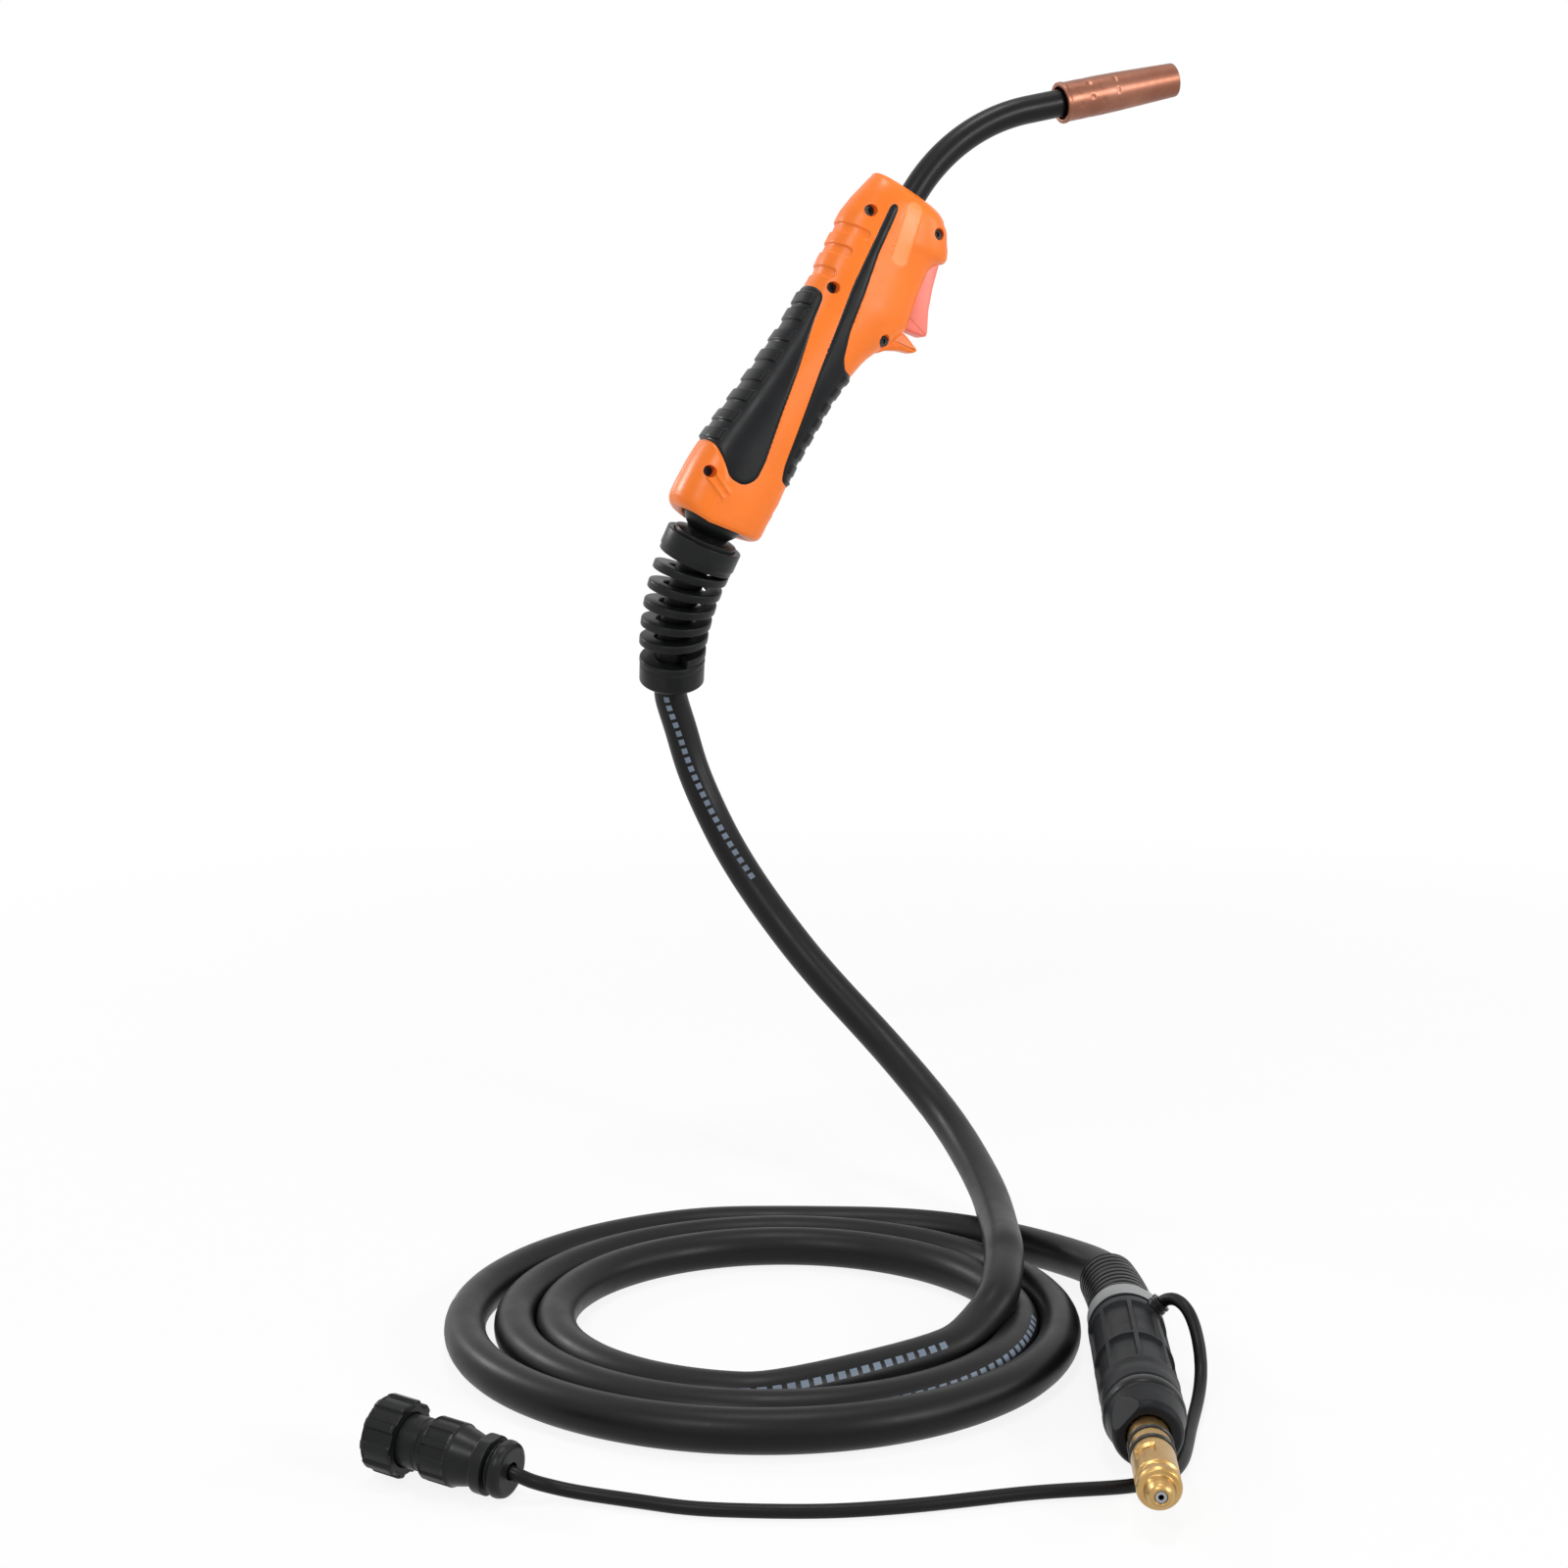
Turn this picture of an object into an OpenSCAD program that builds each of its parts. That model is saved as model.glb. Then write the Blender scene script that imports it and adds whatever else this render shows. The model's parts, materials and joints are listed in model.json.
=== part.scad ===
// MIG welding torch with its cable, rear power connector and control plug.
// Millimetres, +Z up. The origin is the grip point on the axis of the handle,
// the nozzle points toward +X, and the cable lies on a floor below the handle.

/* [Handle] */
// Lean of the handle from upright, in degrees
handle_lean = 33; // [28:1:38]
// Length of the grip below the finger guard
grip_length = 115; // [105:1:130]
// Half the width of the handle
grip_half_width = 18.6; // [17.5:0.1:20]
// Depth of the pockets that hold the rubber grips
pocket_depth = 1.8; // [1.2:0.1:2.2]
// Shell thickness left under a rubber grip
pocket_floor = 1; // [0.8:0.1:1.6]
// How far the rubber grips stand proud of the shell
grip_proud = 0.6; // [0.2:0.1:1]
// Radius of the bosses around the handle screws
boss_r = 4.4; // [4:0.1:5]
// Radius of the handle screws' shanks
screw_r = 1.5; // [1:0.1:2]
// Radius of the handle screws' heads
screw_head_r = 2.8; // [2.4:0.1:3]
// Thickness of the handle screws' heads
screw_head_h = 2.2; // [1.5:0.1:3]
// Depth of the handle screws' heads below the parting plane
screw_seat = 9; // [7:0.5:11]
// Length of the shank past the parting plane
screw_reach = 8; // [5:0.5:11]

/* [Trigger] */
// Width of the trigger
trigger_w = 12; // [9:0.5:14]
// Radius of the trigger's pivot pin
pivot_r = 1.5; // [1:0.1:2]
// Length of the trigger's pivot pin
pivot_pin_length = 20; // [18:0.5:21]
// Width of the switch body
switch_w = 6.4; // [5:0.2:8]
// Radius of the switch plunger
plunger_r = 1.5; // [1:0.1:2]
// Length of the switch plunger that shows at rest
plunger_out = 2.1; // [1.9:0.1:2.5]
// Radius of the pegs that hold the switch
peg_r = 1.1; // [0.8:0.1:1.5]

/* [Neck] */
// Bend of the neck, in degrees
neck_bend = 44; // [35:1:55]
// Radius of the bend of the neck
bend_radius = 100; // [80:1:120]
// Radius of the neck's jacket
jacket_r = 7; // [6.5:0.1:7.4]
// Radius of the conductor tube in the neck
tube_r = 4.2; // [3.8:0.1:4.6]
// Wall of the conductor tube
tube_wall = 1.6; // [1.4:0.1:1.7]
// Outer radius of the wire liner
liner_r = 2.2; // [1.8:0.1:2.3]
// Radius of the liner's bore
liner_bore_r = 1.2; // [0.8:0.1:1.4]
// Radius of the brass block in the handle
block_r = 9; // [8.6:0.1:9.2]

/* [Nozzle] */
// Length of the gas nozzle
nozzle_length = 66; // [62:1:75]
// Radius of the nozzle behind its taper
nozzle_r = 10; // [9.6:0.1:10.5]
// Radius of the nozzle at its mouth
nozzle_tip_r = 8.6; // [8.2:0.1:9]
// Wall of the nozzle
nozzle_wall = 1.6; // [1.2:0.1:1.8]
// Radius of the gas diffuser
diffuser_r = 6; // [5.7:0.1:6.2]
// Radius of the contact tip
tip_r = 4; // [3.6:0.1:4.4]
// Radius of the wire's hole in the contact tip
wire_hole_r = 0.6; // [0.4:0.05:0.8]
// Depth of the contact tip behind the nozzle's mouth
tip_recess = 6; // [4.5:0.5:8]

/* [Cable support] */
// Radius of the ball of the knuckle joint
ball_r = 17.2; // [17:0.1:17.6]
// Clearance around the ball
ball_gap = 0.3; // [0.2:0.05:0.4]
// Radius of the union nut
nut_r = 20; // [19:0.2:21]
// Length of the union nut
nut_length = 12.5; // [10:0.5:15]
// Length of the support spring
spring_length = 53; // [45:1:60]
// Bend of the support spring, in degrees
spring_bend = 25; // [10:1:35]
// Turns of the support spring
spring_turns = 5.25; // [4.5:0.25:6.5]
// Thickness of the spring's strand across the cable
strand_w = 7.4; // [6:0.2:8]
// Height of the spring's strand along the cable
strand_h = 4.4; // [3.6:0.2:5.2]
// Length of the end cap below the spring
cap_length = 14.5; // [10:0.5:18]

/* [Cable] */
// Diameter of the torch cable
cable_d = 17; // [16.4:0.1:17.2]
// Diameter of the control lead
lead_d = 5; // [4:0.1:5.2]

/* [Power connector] */
// Radius of the connector's body
body_r = 15.4; // [15:0.1:15.7]
// Wall of the connector's body
body_wall = 3; // [2.6:0.1:3.4]
// Length of the connector's body
body_length = 84; // [78:1:90]
// Length of the power pin in front of its collar
pin_length = 51; // [46:1:56]
// Radius of the power pin
pin_r = 7.95; // [7.5:0.05:8.2]
// Radius of the wire's hole in the pin's nose
inlet_r = 1; // [0.8:0.1:1.5]
// Length of the tapered collar
collar_length = 15; // [12:0.5:18]
// Length of the locking ring
ring_length = 8; // [6:0.5:10]
// Length of the light band
band_length = 16; // [12:0.5:18]
// Length of the ribbed boot
boot_length = 36; // [30:1:42]

/* [Control plug] */
// Radius of the plug's coupling ring
coupling_r = 14; // [13:0.5:15]
// Length of the plug's coupling ring
coupling_length = 12.5; // [11:0.5:16]
// Radius of the plug's shell
shell_r = 9.5; // [9:0.1:10.5]
// Radius of the plug's ribbed backshell
backshell_r = 11.4; // [11:0.1:12.5]
// Length of the plug's ribbed backshell
backshell_length = 12; // [10:0.5:18]
// Radius of the contact pins in the plug
contact_r = 0.8; // [0.6:0.1:1]
// Number of contact pins around the plug
contact_count = 4; // [3:1:5]

/* [Hidden] */
$fn = 48;

// Clearance of pieces that are pushed or screwed into each other
fit = 0.1;
// Clearance of loose pieces and of pieces that turn or slide past each other
gap = 0.3;
floor_z = -398;
far = 60;

// ---- Handle outline -------------------------------------------------------
// Along the handle's axis. Stations are slanted by face_slope, as both end faces are.
face_slope = 0.21;
top_s = 121.5;
grip_top = 36;
drawn_grip = 115;
grip_stretch = grip_length / drawn_grip;
bottom_s = grip_top - grip_length;
ball_s = bottom_s + 9.5;
socket_s = ball_s + 8;
end_wall = 3;
ring_sides = 24;
squareness = 2.5;
shell_wall = pocket_depth + pocket_floor;
mouth_half_width = ball_r + ball_gap + 3;
width_step = mouth_half_width - grip_half_width;

// Height of a point of the lower handle, which stretches with the grip
function low(b) = grip_top - (grip_top - b) * grip_stretch;

// Each station: [height, back edge, front edge, half width], from the bottom up
handle_stations = [
    [bottom_s, -16.8, 25.6, mouth_half_width - 2.5],
    [bottom_s + 3, -21.2, 26.8, mouth_half_width - 0.7],
    [ball_s, -23.7, 26, mouth_half_width],
    [socket_s, -24.4, 25.8, mouth_half_width],
    [low(-49), -25.1, 24.6, grip_half_width + 0.8 * width_step],
    [low(-36), -24.4, 22.6, grip_half_width + 0.6 * width_step],
    [low(-17), -23.6, 22, grip_half_width + 0.4 * width_step],
    [low(5), -21.9, 21.6, grip_half_width + 0.2 * width_step],
    [low(20), -20.9, 22.3, grip_half_width],
    [low(30), -20.6, 23.6, grip_half_width],
    [38, -20.6, 28, grip_half_width],
    [45, -20.6, 31.6, grip_half_width],
    [52, -20.8, 33.6, grip_half_width],
    [59, -21.3, 32.2, grip_half_width - 0.2],
    [67, -22.5, 29.8, grip_half_width - 0.4],
    [78, -23.7, 27.9, grip_half_width - 0.6],
    [89, -25.2, 28.6, grip_half_width - 0.6],
    [94, -25.5, 31.4, grip_half_width - 0.6],
    [99, -25.2, 30.8, grip_half_width - 0.8],
    [108, -24.6, 27.2, grip_half_width - 1.2],
    [114, -23.4, 21.8, grip_half_width - 2],
    [top_s - end_wall, -22, 15.6, grip_half_width - 3],
    [top_s, -20, 9.4, grip_half_width - 5]
];
cavity_first = 3;
cavity_last = len(handle_stations) - 2;

// Side-view outlines, as [forward, up] in the handle's own frame
rear_grip_outline = [
    [-far, 49], [-17.9, 48.8], [-14.4, 46], [-12.5, 33], [-6.7, low(7.5)],
    [-1.9, low(-17)], [3.3, low(-40)], [4.2, low(-50)], [-0.2, low(-56.4)],
    [-8.2, low(-57)], [-14.9, low(-50.8)], [-22.6, low(-45.3)], [-far, low(-43.7)]
];
front_grip_outline = [
    [-9.6, 105], [-10.2, 101.8], [-5.4, 57.7], [2.8, low(12.5)], [13.4, low(-36.3)],
    [16.5, low(-43)], [far, low(-43)], [far, low(25)], [19, low(22)], [14.5, low(21.7)],
    [10.5, low(25.7)], [5.7, 38.5], [1.7, 59.9], [-2.7, 79.6], [-5.8, 103.5], [-7.4, 105.4]
];
guard_outline = [
    [18, 50], [22.5, 38], [27, 41], [30.5, 45.3], [36.5, 49.3], [43.6, 52.2],
    [44.8, 54.7], [35, 57.6], [29, 57.6]
];
trigger_slot_outline = [
    [20.6, 103.4], [28, 103.4], [31, 98.6], [far, 98.6], [far, 58.4], [29, 57.6], [25.4, 56.2], [20.6, 60]
];
guard_w = 10;
screw_spots = [[-17, 95.8], [-12.8, 52.6], [24.6, 46.4], [-17.8, low(-59)], [19.6, 107]];
rib_spots = [49.5, 43.5, 31.5, 18, 5, -7, -20, -33];
rib_gap = 2.6;
rib_root = 20;
front_rib_root = 21.6;

// ---- Trigger and switch ---------------------------------------------------
pivot = [25, 98];
trigger_outline = [
    [21.6, 99.4], [24.4, 101.4], [28, 100.2], [29.8, 96.6], [33, 85.6], [37.8, 74.2],
    [43.6, 64.6], [44, 62.8], [43, 61.8], [32.4, 59.4], [28.4, 59], [26.8, 62],
    [26, 65.5], [22.4, 65.8], [22.4, 70.2], [24.6, 72], [21.6, 86]
];
trigger_face = 22.4;
plunger_b = 68;
switch_front = trigger_face - gap - plunger_out;
switch_back = 10.4;
switch_bottom = 60;
switch_top = 80;
peg_spots = [[14.5, 63], [14.5, 76.5]];

// ---- Neck and nozzle ------------------------------------------------------
neck_a = 1;
bend_b = 122;
lap = 0.5;
lap_step = 0.1;
jacket_front = 22;
nozzle_back = 18.5;
nozzle_front = nozzle_back + nozzle_length;
rim_extra = 0.5;
rim_length = 2;
bore_r = nozzle_r - nozzle_wall;
bore_front = 45;
mouth_bore_r = nozzle_tip_r - nozzle_wall + 0.2;
tip_front = nozzle_front - tip_recess;
tip_back = 44;
diffuser_front = 50;
insulator_back = 24;
insulator_length = 14;
ring_spring_length = 4;
thread_r = tip_r - 1;
tip_taper = 9;
gas_hole_r = 0.8;
gas_hole_s = 46.5;
tube_front = 28;
tube_bore_r = tube_r - tube_wall;
block_bottom = 78;
block_top = 104;
crimp_bottom = 50;
crimp_r = 6.2;

// ---- Cable support --------------------------------------------------------
// Distances along its axis, downward from the centre of the ball
support_turn = -38;
support_lean = 26;
support_roll = 54;
knuckle_neck_r = 11.2;
flange_r = 16.5;
flange_top = 15.4;
flange_bottom = 19.3;
nut_top = 17.3;
spring_top = nut_top + nut_length;
spring_end = spring_top + spring_length;
support_end = spring_end + cap_length;
spring_r_top = nut_r - 0.6;
cap_r = nut_r - 3;
cable_r = cable_d / 2;
cable_bore_r = cable_r + gap;
spring_radius = spring_length * 180 / PI / spring_bend;
ball_flat = 14;

// ---- Cable on the floor ---------------------------------------------------
cable_z = floor_z + cable_r;
rise_route = [
    [-54.37, 31.1, -148], [-55, 34.7, -154.5], [-48, 37, -172], [-43, 37, -192], [-35, 33, -213],
    [-27, 25, -233], [-17, 14, -253], [-6, 0, -272], [5, -16, -290], [17, -36, -307],
    [30, -55, -324], [39, -79, -339], [46, -105, -353], [45, -139, -363], [38, -182, -370],
    [27, -215, -372], [15, -249, -369], [12, -256, -373], [3, -275, -374], [-5, -289, -377],
    [-12, -293, -382], [-25, -304, -386], [-39, -313, -388], [-55, -321, cable_z]
];
coil_centre = [-90.5, -242.5];
coil_inner_r = 82;
coil_outer_r = 132;
tail_route = [
    [-48, -128, cable_z], [-24, -139, cable_z], [-3, -147, cable_z], [17, -158, cable_z],
    [35, -174, cable_z], [50, -194, cable_z], [58, -222, -387], [61, -248, -384],
    [59, -264, -382.8]
];
tube_sides = 10;

// ---- Power connector ------------------------------------------------------
// Distances along its axis, forward from the root of the power pin
pin_root = [-3.6, -422.3, floor_z + body_r + gap];
pin_heading = -112;
ring_front = -collar_length;
body_front = ring_front - ring_length;
body_back = body_front - body_length;
band_front = body_back - 1;
band_back = band_front - band_length;
boot_back = band_back - boot_length;
body_bore_r = body_r - body_wall;
ring_r = 15.2;
collar_back_r = 14.6;
collar_front_r = 12.3;
spigot_r = body_bore_r - 2 * fit;
band_r = 15;
band_bore_r = band_r - 1.6;
boot_r = 13.2;
boot_ribs = 6;
boot_rib_depth = 1.2;
boot_rib_gap = 2;
rib_width = 6;
rib_rise = 0.5;
rib_groove = 2;
pin_back = body_front - 20;
nose_length = 7;
nose_step = 0.6;
nose_taper = 4;
waist_depth = 1.4;
inlet_wall = 1;
inlet_back = 2;
flat_depth = 1.6;
flat_start = 24;
flat_length = 7;
notch_turn = -130;
notch_depth = 1;
notch_length = 9;
o_ring_spots = [8.5, 16.5];
o_ring_r = 0.8;
o_ring_out = 0.4;
seal_end = 20;
shank_r = pin_r - 0.4;
gland_s = body_back + 4.3;
gland_r = 3.4;
gland_angle = 45;

// ---- Control lead and plug ------------------------------------------------
lead_r = lead_d / 2;
lead_z = floor_z + lead_r;
lead_route = [
    [45.3, -331, -371.2], [48.4, -332.4, -367.8], [51, -337, -366], [52.5, -345, -368],
    [53, -352, -376], [51, -360, -387], [42, -374, -393.5], [27, -395, lead_z],
    [13.8, -417.4, lead_z], [0.8, -429.4, lead_z], [-14, -432, lead_z], [-31, -428.4, lead_z],
    [-51, -425, lead_z], [-69, -424, lead_z], [-87, -423, lead_z], [-104, -421, lead_z],
    [-121, -418, lead_z], [-137, -413, lead_z], [-153, -407, lead_z], [-169, -400, lead_z],
    [-183, -389.5, -395.4], [-195, -381.5, -395.2], [-204.5, -376, -394.4], [-211, -373, -393],
    [-217, -372.4, -390.8], [-221.4, -371.2, -388.4], [-225, -367.8, -387.3], [-229.3, -363.6, -386.9]
];
plug_spot = [-254.6, -338.8];
plug_heading = 135.5;
plug_neck = 10;
plug_cone = 9;
clamp_r = 10.6;
clamp_length = 12;
plug_end = coupling_length + plug_neck + backshell_length + plug_cone + clamp_length;
plug_dip = atan((coupling_r - clamp_r) / (plug_end - coupling_length));
coupling_wall = 2.2;
insert_back = 10.5;
clamp_screw_x = 6.4;
clamp_screw_r = 1.3;
clamp_split = 0.3;
clamp_disc = 5;
clamp_waist_r = clamp_r - 2.4;
clamp_screw_length = 12;
lobe_r = 2.2;
lobe_count = 8;
shell_wall_front = 1.4;
shell_bore_r = shell_r - 3;
insert_length = 3;
contact_length = 8.5;
grip_rib_count = 10;
grip_rib_w = 3.4;
grip_rib_rise = 0.6;
contact_ring_r = 4.2;

// ---- Frames ---------------------------------------------------------------
module in_handle() {
    rotate([0, handle_lean, 0]) children();
}

module at_neck_end(s) {
    run = bend_radius * (1 - cos(neck_bend));
    rise = bend_radius * sin(neck_bend);
    in_handle() translate([neck_a + run, 0, bend_b + rise]) rotate([0, neck_bend, 0])
        translate([0, 0, s]) children();
}

module at_ball() {
    in_handle() translate([0, 0, ball_s]) rotate([0, -handle_lean, 0]) children();
}

module in_support() {
    at_ball() rotate([0, 0, support_turn]) rotate([0, support_lean, 0])
        rotate([0, 0, support_roll]) children();
}

// Below the ball, at distance t along the straight upper axis
module below_ball(t) {
    in_support() translate([0, 0, -t]) mirror([0, 0, 1]) children();
}

// Below the bent spring, at distance t along the whole axis
module below_spring(t) {
    in_support() translate(support_point(spring_end)) rotate([0, -spring_bend, 0])
        translate([0, 0, spring_end - t]) mirror([0, 0, 1]) children();
}

// Local z runs forward along the connector, and local -x points up
module in_connector(s = 0) {
    translate(pin_root) rotate([0, 0, pin_heading]) rotate([0, 90, 0])
        translate([0, 0, s]) children();
}

// Local z runs forward along the plug, from the front of its coupling ring. The plug
// rests on the rear edge of that ring and on its cable clamp
module in_plug(back = 0) {
    translate([plug_spot[0], plug_spot[1], floor_z]) rotate([0, 0, plug_heading])
        rotate([0, 90 - plug_dip, 0])
        translate([-coupling_r, 0, coupling_length - back]) children();
}

// ---- Curves ---------------------------------------------------------------
function unit(v) = v / norm(v);

function signed_power(x) = sign(x) * pow(abs(x), 2 / squareness);

function handle_ring(station, inset) =
    let (
        middle = (station[1] + station[2]) / 2,
        reach = (station[2] - station[1]) / 2 - inset,
        width = station[3] - inset
    )
    [for (k = [0:ring_sides - 1])
        let (
            turn = 360 * k / ring_sides,
            a = middle + reach * signed_power(cos(turn))
        )
        [a, width * signed_power(sin(turn)), station[0] + face_slope * a]];

function handle_rings(inset, first = 0, last = len(handle_stations) - 1) =
    [for (k = [first:last]) handle_ring(handle_stations[k], inset)];

// A direction square to the unit vector t and nearest to v
function square_to(t, v) = unit(v - (v * t) * t);

function travel(points, k) =
    unit(points[min(k + 1, len(points) - 1)] - points[max(k - 1, 0)]);

// One side direction for each point, carried along the path without twist
function sides(points, first) =
    [for (k = 0, side = square_to(travel(points, 0), first);
        k < len(points);
        k = k + 1, side = square_to(travel(points, min(k, len(points) - 1)), side))
        side];

function tube_rings(points, radius, first = [0.3, 1, 0.2]) =
    let (across = sides(points, first))
    [for (k = [0:len(points) - 1])
        let (
            u = across[k],
            v = cross(travel(points, k), u)
        )
        [for (j = [0:tube_sides - 1])
            let (turn = 360 * j / tube_sides)
            points[k] + radius * (cos(turn) * u + sin(turn) * v)]];

// The knots of a uniform cubic B-spline through the neighbourhood of each point
function eased(points) =
    [for (k = [0:len(points) - 1])
        k == 0 || k == len(points) - 1
            ? points[k]
            : (points[k - 1] + 4 * points[k] + points[k + 1]) / 6];

function bezier(a, b, c, d, t) =
    pow(1 - t, 3) * a + 3 * pow(1 - t, 2) * t * b + 3 * (1 - t) * t * t * c + t * t * t * d;

// Centre line of the cable support, in the support's own frame
function bent(t) = min(max(t - spring_top, 0), spring_length) / spring_length * spring_bend;

function support_point(t) =
    let (
        turn = bent(t),
        before = min(t, spring_top),
        after = max(t - spring_end, 0)
    )
    [
        spring_radius * (1 - cos(turn)) + after * sin(turn),
        0,
        -(before + spring_radius * sin(turn) + after * cos(turn))
    ];

function strand_ring(t, turn) =
    let (
        out = [cos(bent(t)), 0, sin(bent(t))],
        along = [sin(bent(t)), 0, -cos(bent(t))],
        share = (t - spring_top) / spring_length,
        outer = spring_r_top + (cap_r + 0.2 - spring_r_top) * share,
        spoke = cos(turn) * out + sin(turn) * [0, 1, 0]
    )
    [for (corner = [[0, -1], [-1, -1], [-1, 1], [0, 1]])
        support_point(t) + (outer + corner[0] * strand_w) * spoke
            + corner[1] * strand_h / 2 * along];

// ---- Shared shapes --------------------------------------------------------
// A closed skin over rings of points
module skin(rings) {
    n = len(rings[0]);
    m = len(rings);
    polyhedron(
        points = [for (ring = rings) each ring],
        faces = concat(
            [[for (k = [0:n - 1]) k]],
            [for (j = [0:m - 2], k = [0:n - 1]) [j * n + k, (j + 1) * n + k, (j + 1) * n + (k + 1) % n]],
            [for (j = [0:m - 2], k = [0:n - 1]) [j * n + k, (j + 1) * n + (k + 1) % n, j * n + (k + 1) % n]],
            [[for (k = [n - 1:-1:0]) (m - 1) * n + k]]
        )
    );
}

module ring_solid(outer, inner, length) {
    difference() {
        cylinder(r = outer, h = length);
        translate([0, 0, -1]) cylinder(r = inner, h = length + 2);
    }
}

// A side-view outline, extruded to both sides of the parting plane
module side_plate(outline, width) {
    rotate([90, 0, 0]) linear_extrude(height = width, center = true) polygon(outline);
}

// A cylinder across the handle, from y0 to y1, at a side-view spot
module crosswise(spot, radius, y0, y1) {
    translate([spot[0], y1, spot[1]]) rotate([90, 0, 0]) cylinder(r = radius, h = y1 - y0);
}

// A round bar along the neck's axis. It's thinner by a hair in the bend, where its
// straight ends lap over
module along_neck(radius, from_b, to_s) {
    in_handle() translate([neck_a, 0, from_b])
        cylinder(r = radius, h = bend_b - from_b + lap);
    in_handle() translate([neck_a + bend_radius, 0, bend_b]) rotate([90, 0, 0])
        rotate([0, 0, 180 - neck_bend])
        rotate_extrude(angle = neck_bend)
        translate([bend_radius, 0]) circle(r = radius - lap_step);
    at_neck_end(-lap) cylinder(r = radius, h = to_s + lap);
}

// ---- Handle ---------------------------------------------------------------
module grip_pockets() {
    difference() {
        union() {
            side_plate(rear_grip_outline, far);
            side_plate(front_grip_outline, far);
        }
        skin(handle_rings(pocket_depth));
    }
}

module trigger_slot() {
    side_plate(trigger_slot_outline, trigger_w + 2 * gap);
}

// Bosses, pegs and the saddle of the neck block, which stay solid in the cavity
module inner_supports() {
    for (spot = screw_spots) crosswise(spot, boss_r, -far, far);
    for (spot = peg_spots) crosswise(spot, peg_r, -far, far);
    difference() {
        crosswise(pivot, pivot_r + 2, -far, far);
        crosswise(pivot, pivot_r + 3, -trigger_w / 2 - gap, trigger_w / 2 + gap);
    }
    difference() {
        translate([-far / 2, -far / 2, block_top - 12]) cube([far / 2 + 16, far, 5]);
        translate([neck_a, 0, 0]) cylinder(r = block_r + fit, h = 2 * far);
    }
}

module shell_cuts() {
    difference() {
        skin(handle_rings(shell_wall, cavity_first, cavity_last));
        inner_supports();
    }
    grip_pockets();
    trigger_slot();
    translate([neck_a, 0, 0]) cylinder(r = jacket_r + fit, h = 2 * far + 20);
    translate([0, 0, ball_s]) sphere(r = ball_r + ball_gap);
    translate([0, 0, ball_s]) rotate([0, 180 - atan(face_slope), 0])
        cylinder(r = ball_r - 1.7, h = far);
    crosswise(pivot, pivot_r + fit / 2, -pivot_pin_length / 2 - gap, pivot_pin_length / 2 + gap);
    for (spot = screw_spots) {
        crosswise(spot, screw_r + fit, -far, screw_reach + gap);
        crosswise(spot, screw_head_r + gap, -far, -screw_seat);
    }
}

module finger_guard() {
    side_plate(guard_outline, guard_w);
}

module handle_shell(side) {
    in_handle() difference() {
        intersection() {
            union() {
                skin(handle_rings(0));
                finger_guard();
            }
            translate([-far, side > 0 ? 0 : -far, -2 * far]) cube([2 * far, far, 4 * far]);
        }
        shell_cuts();
    }
}

module handle_shell_left() {
    color("orangered") handle_shell(1);
}

module handle_shell_right() {
    color("orangered") handle_shell(-1);
}

module grip_pad(outline) {
    difference() {
        intersection() {
            skin(handle_rings(-grip_proud));
            side_plate(outline, far);
        }
        skin(handle_rings(pocket_depth - fit));
    }
}

module rear_grip() {
    color("dimgray") in_handle() difference() {
        grip_pad(rear_grip_outline);
        for (b = rib_spots)
            translate([-far / 2 - rib_root, -far / 2, low(b) - rib_gap / 2]) cube([far / 2, far, rib_gap]);
    }
}

module front_grip() {
    color("dimgray") in_handle() difference() {
        grip_pad(front_grip_outline);
        for (b = [low(20):-9:low(-38)])
            translate([front_rib_root, -far / 2, b - rib_gap / 2]) cube([far / 2, far, rib_gap]);
    }
}

module handle_screws() {
    color("gray") in_handle() for (spot = screw_spots) {
        crosswise(spot, screw_r, -screw_seat, screw_reach);
        difference() {
            crosswise(spot, screw_head_r, -screw_seat - screw_head_h, -screw_seat);
            crosswise(spot, screw_r - 0.2, -screw_seat - screw_head_h - 1, -screw_seat - 1);
        }
    }
}

// ---- Trigger and switch ---------------------------------------------------
module trigger() {
    color("lightcoral") in_handle() difference() {
        side_plate(trigger_outline, trigger_w);
        crosswise(pivot, pivot_r + fit, -far, far);
    }
}

module trigger_pin() {
    color("silver") in_handle()
        crosswise(pivot, pivot_r, -pivot_pin_length / 2, pivot_pin_length / 2);
}

module switch_body() {
    color("black") in_handle() difference() {
        translate([switch_back, -switch_w / 2, switch_bottom])
            cube([switch_front - switch_back, switch_w, switch_top - switch_bottom]);
        for (spot = peg_spots) crosswise(spot, peg_r + fit, -far, far);
        translate([switch_front - 4.5, 0, plunger_b]) rotate([0, 90, 0])
            cylinder(r = plunger_r + fit, h = far);
    }
}

module switch_plunger() {
    color("red") in_handle() translate([switch_front - 1.8, 0, plunger_b]) rotate([0, 90, 0])
        cylinder(r = plunger_r, h = plunger_out + 1.8);
}

module switch_lead(y) {
    wire_r = 0.8;
    bend = [11.5, y, crimp_bottom + 4];
    end = [neck_a + crimp_r + wire_r + 2 * fit, y, crimp_bottom + gap];
    skin(tube_rings([[13.5, y, switch_bottom - gap], [12.8, y, 57], bend, end], wire_r));
}

module switch_leads() {
    color("gray") in_handle() for (y = [-1.6, 1.6]) switch_lead(y);
}

// ---- Neck -----------------------------------------------------------------
module neck_jacket() {
    color("#202022") difference() {
        along_neck(jacket_r, block_top, jacket_front);
        along_neck(tube_r + fit, block_top - 1, jacket_front + 1);
    }
}

module conductor_tube() {
    color("goldenrod") difference() {
        along_neck(tube_r, block_bottom + 4, tube_front);
        along_neck(tube_bore_r, block_bottom, tube_front + 1);
    }
}

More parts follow.
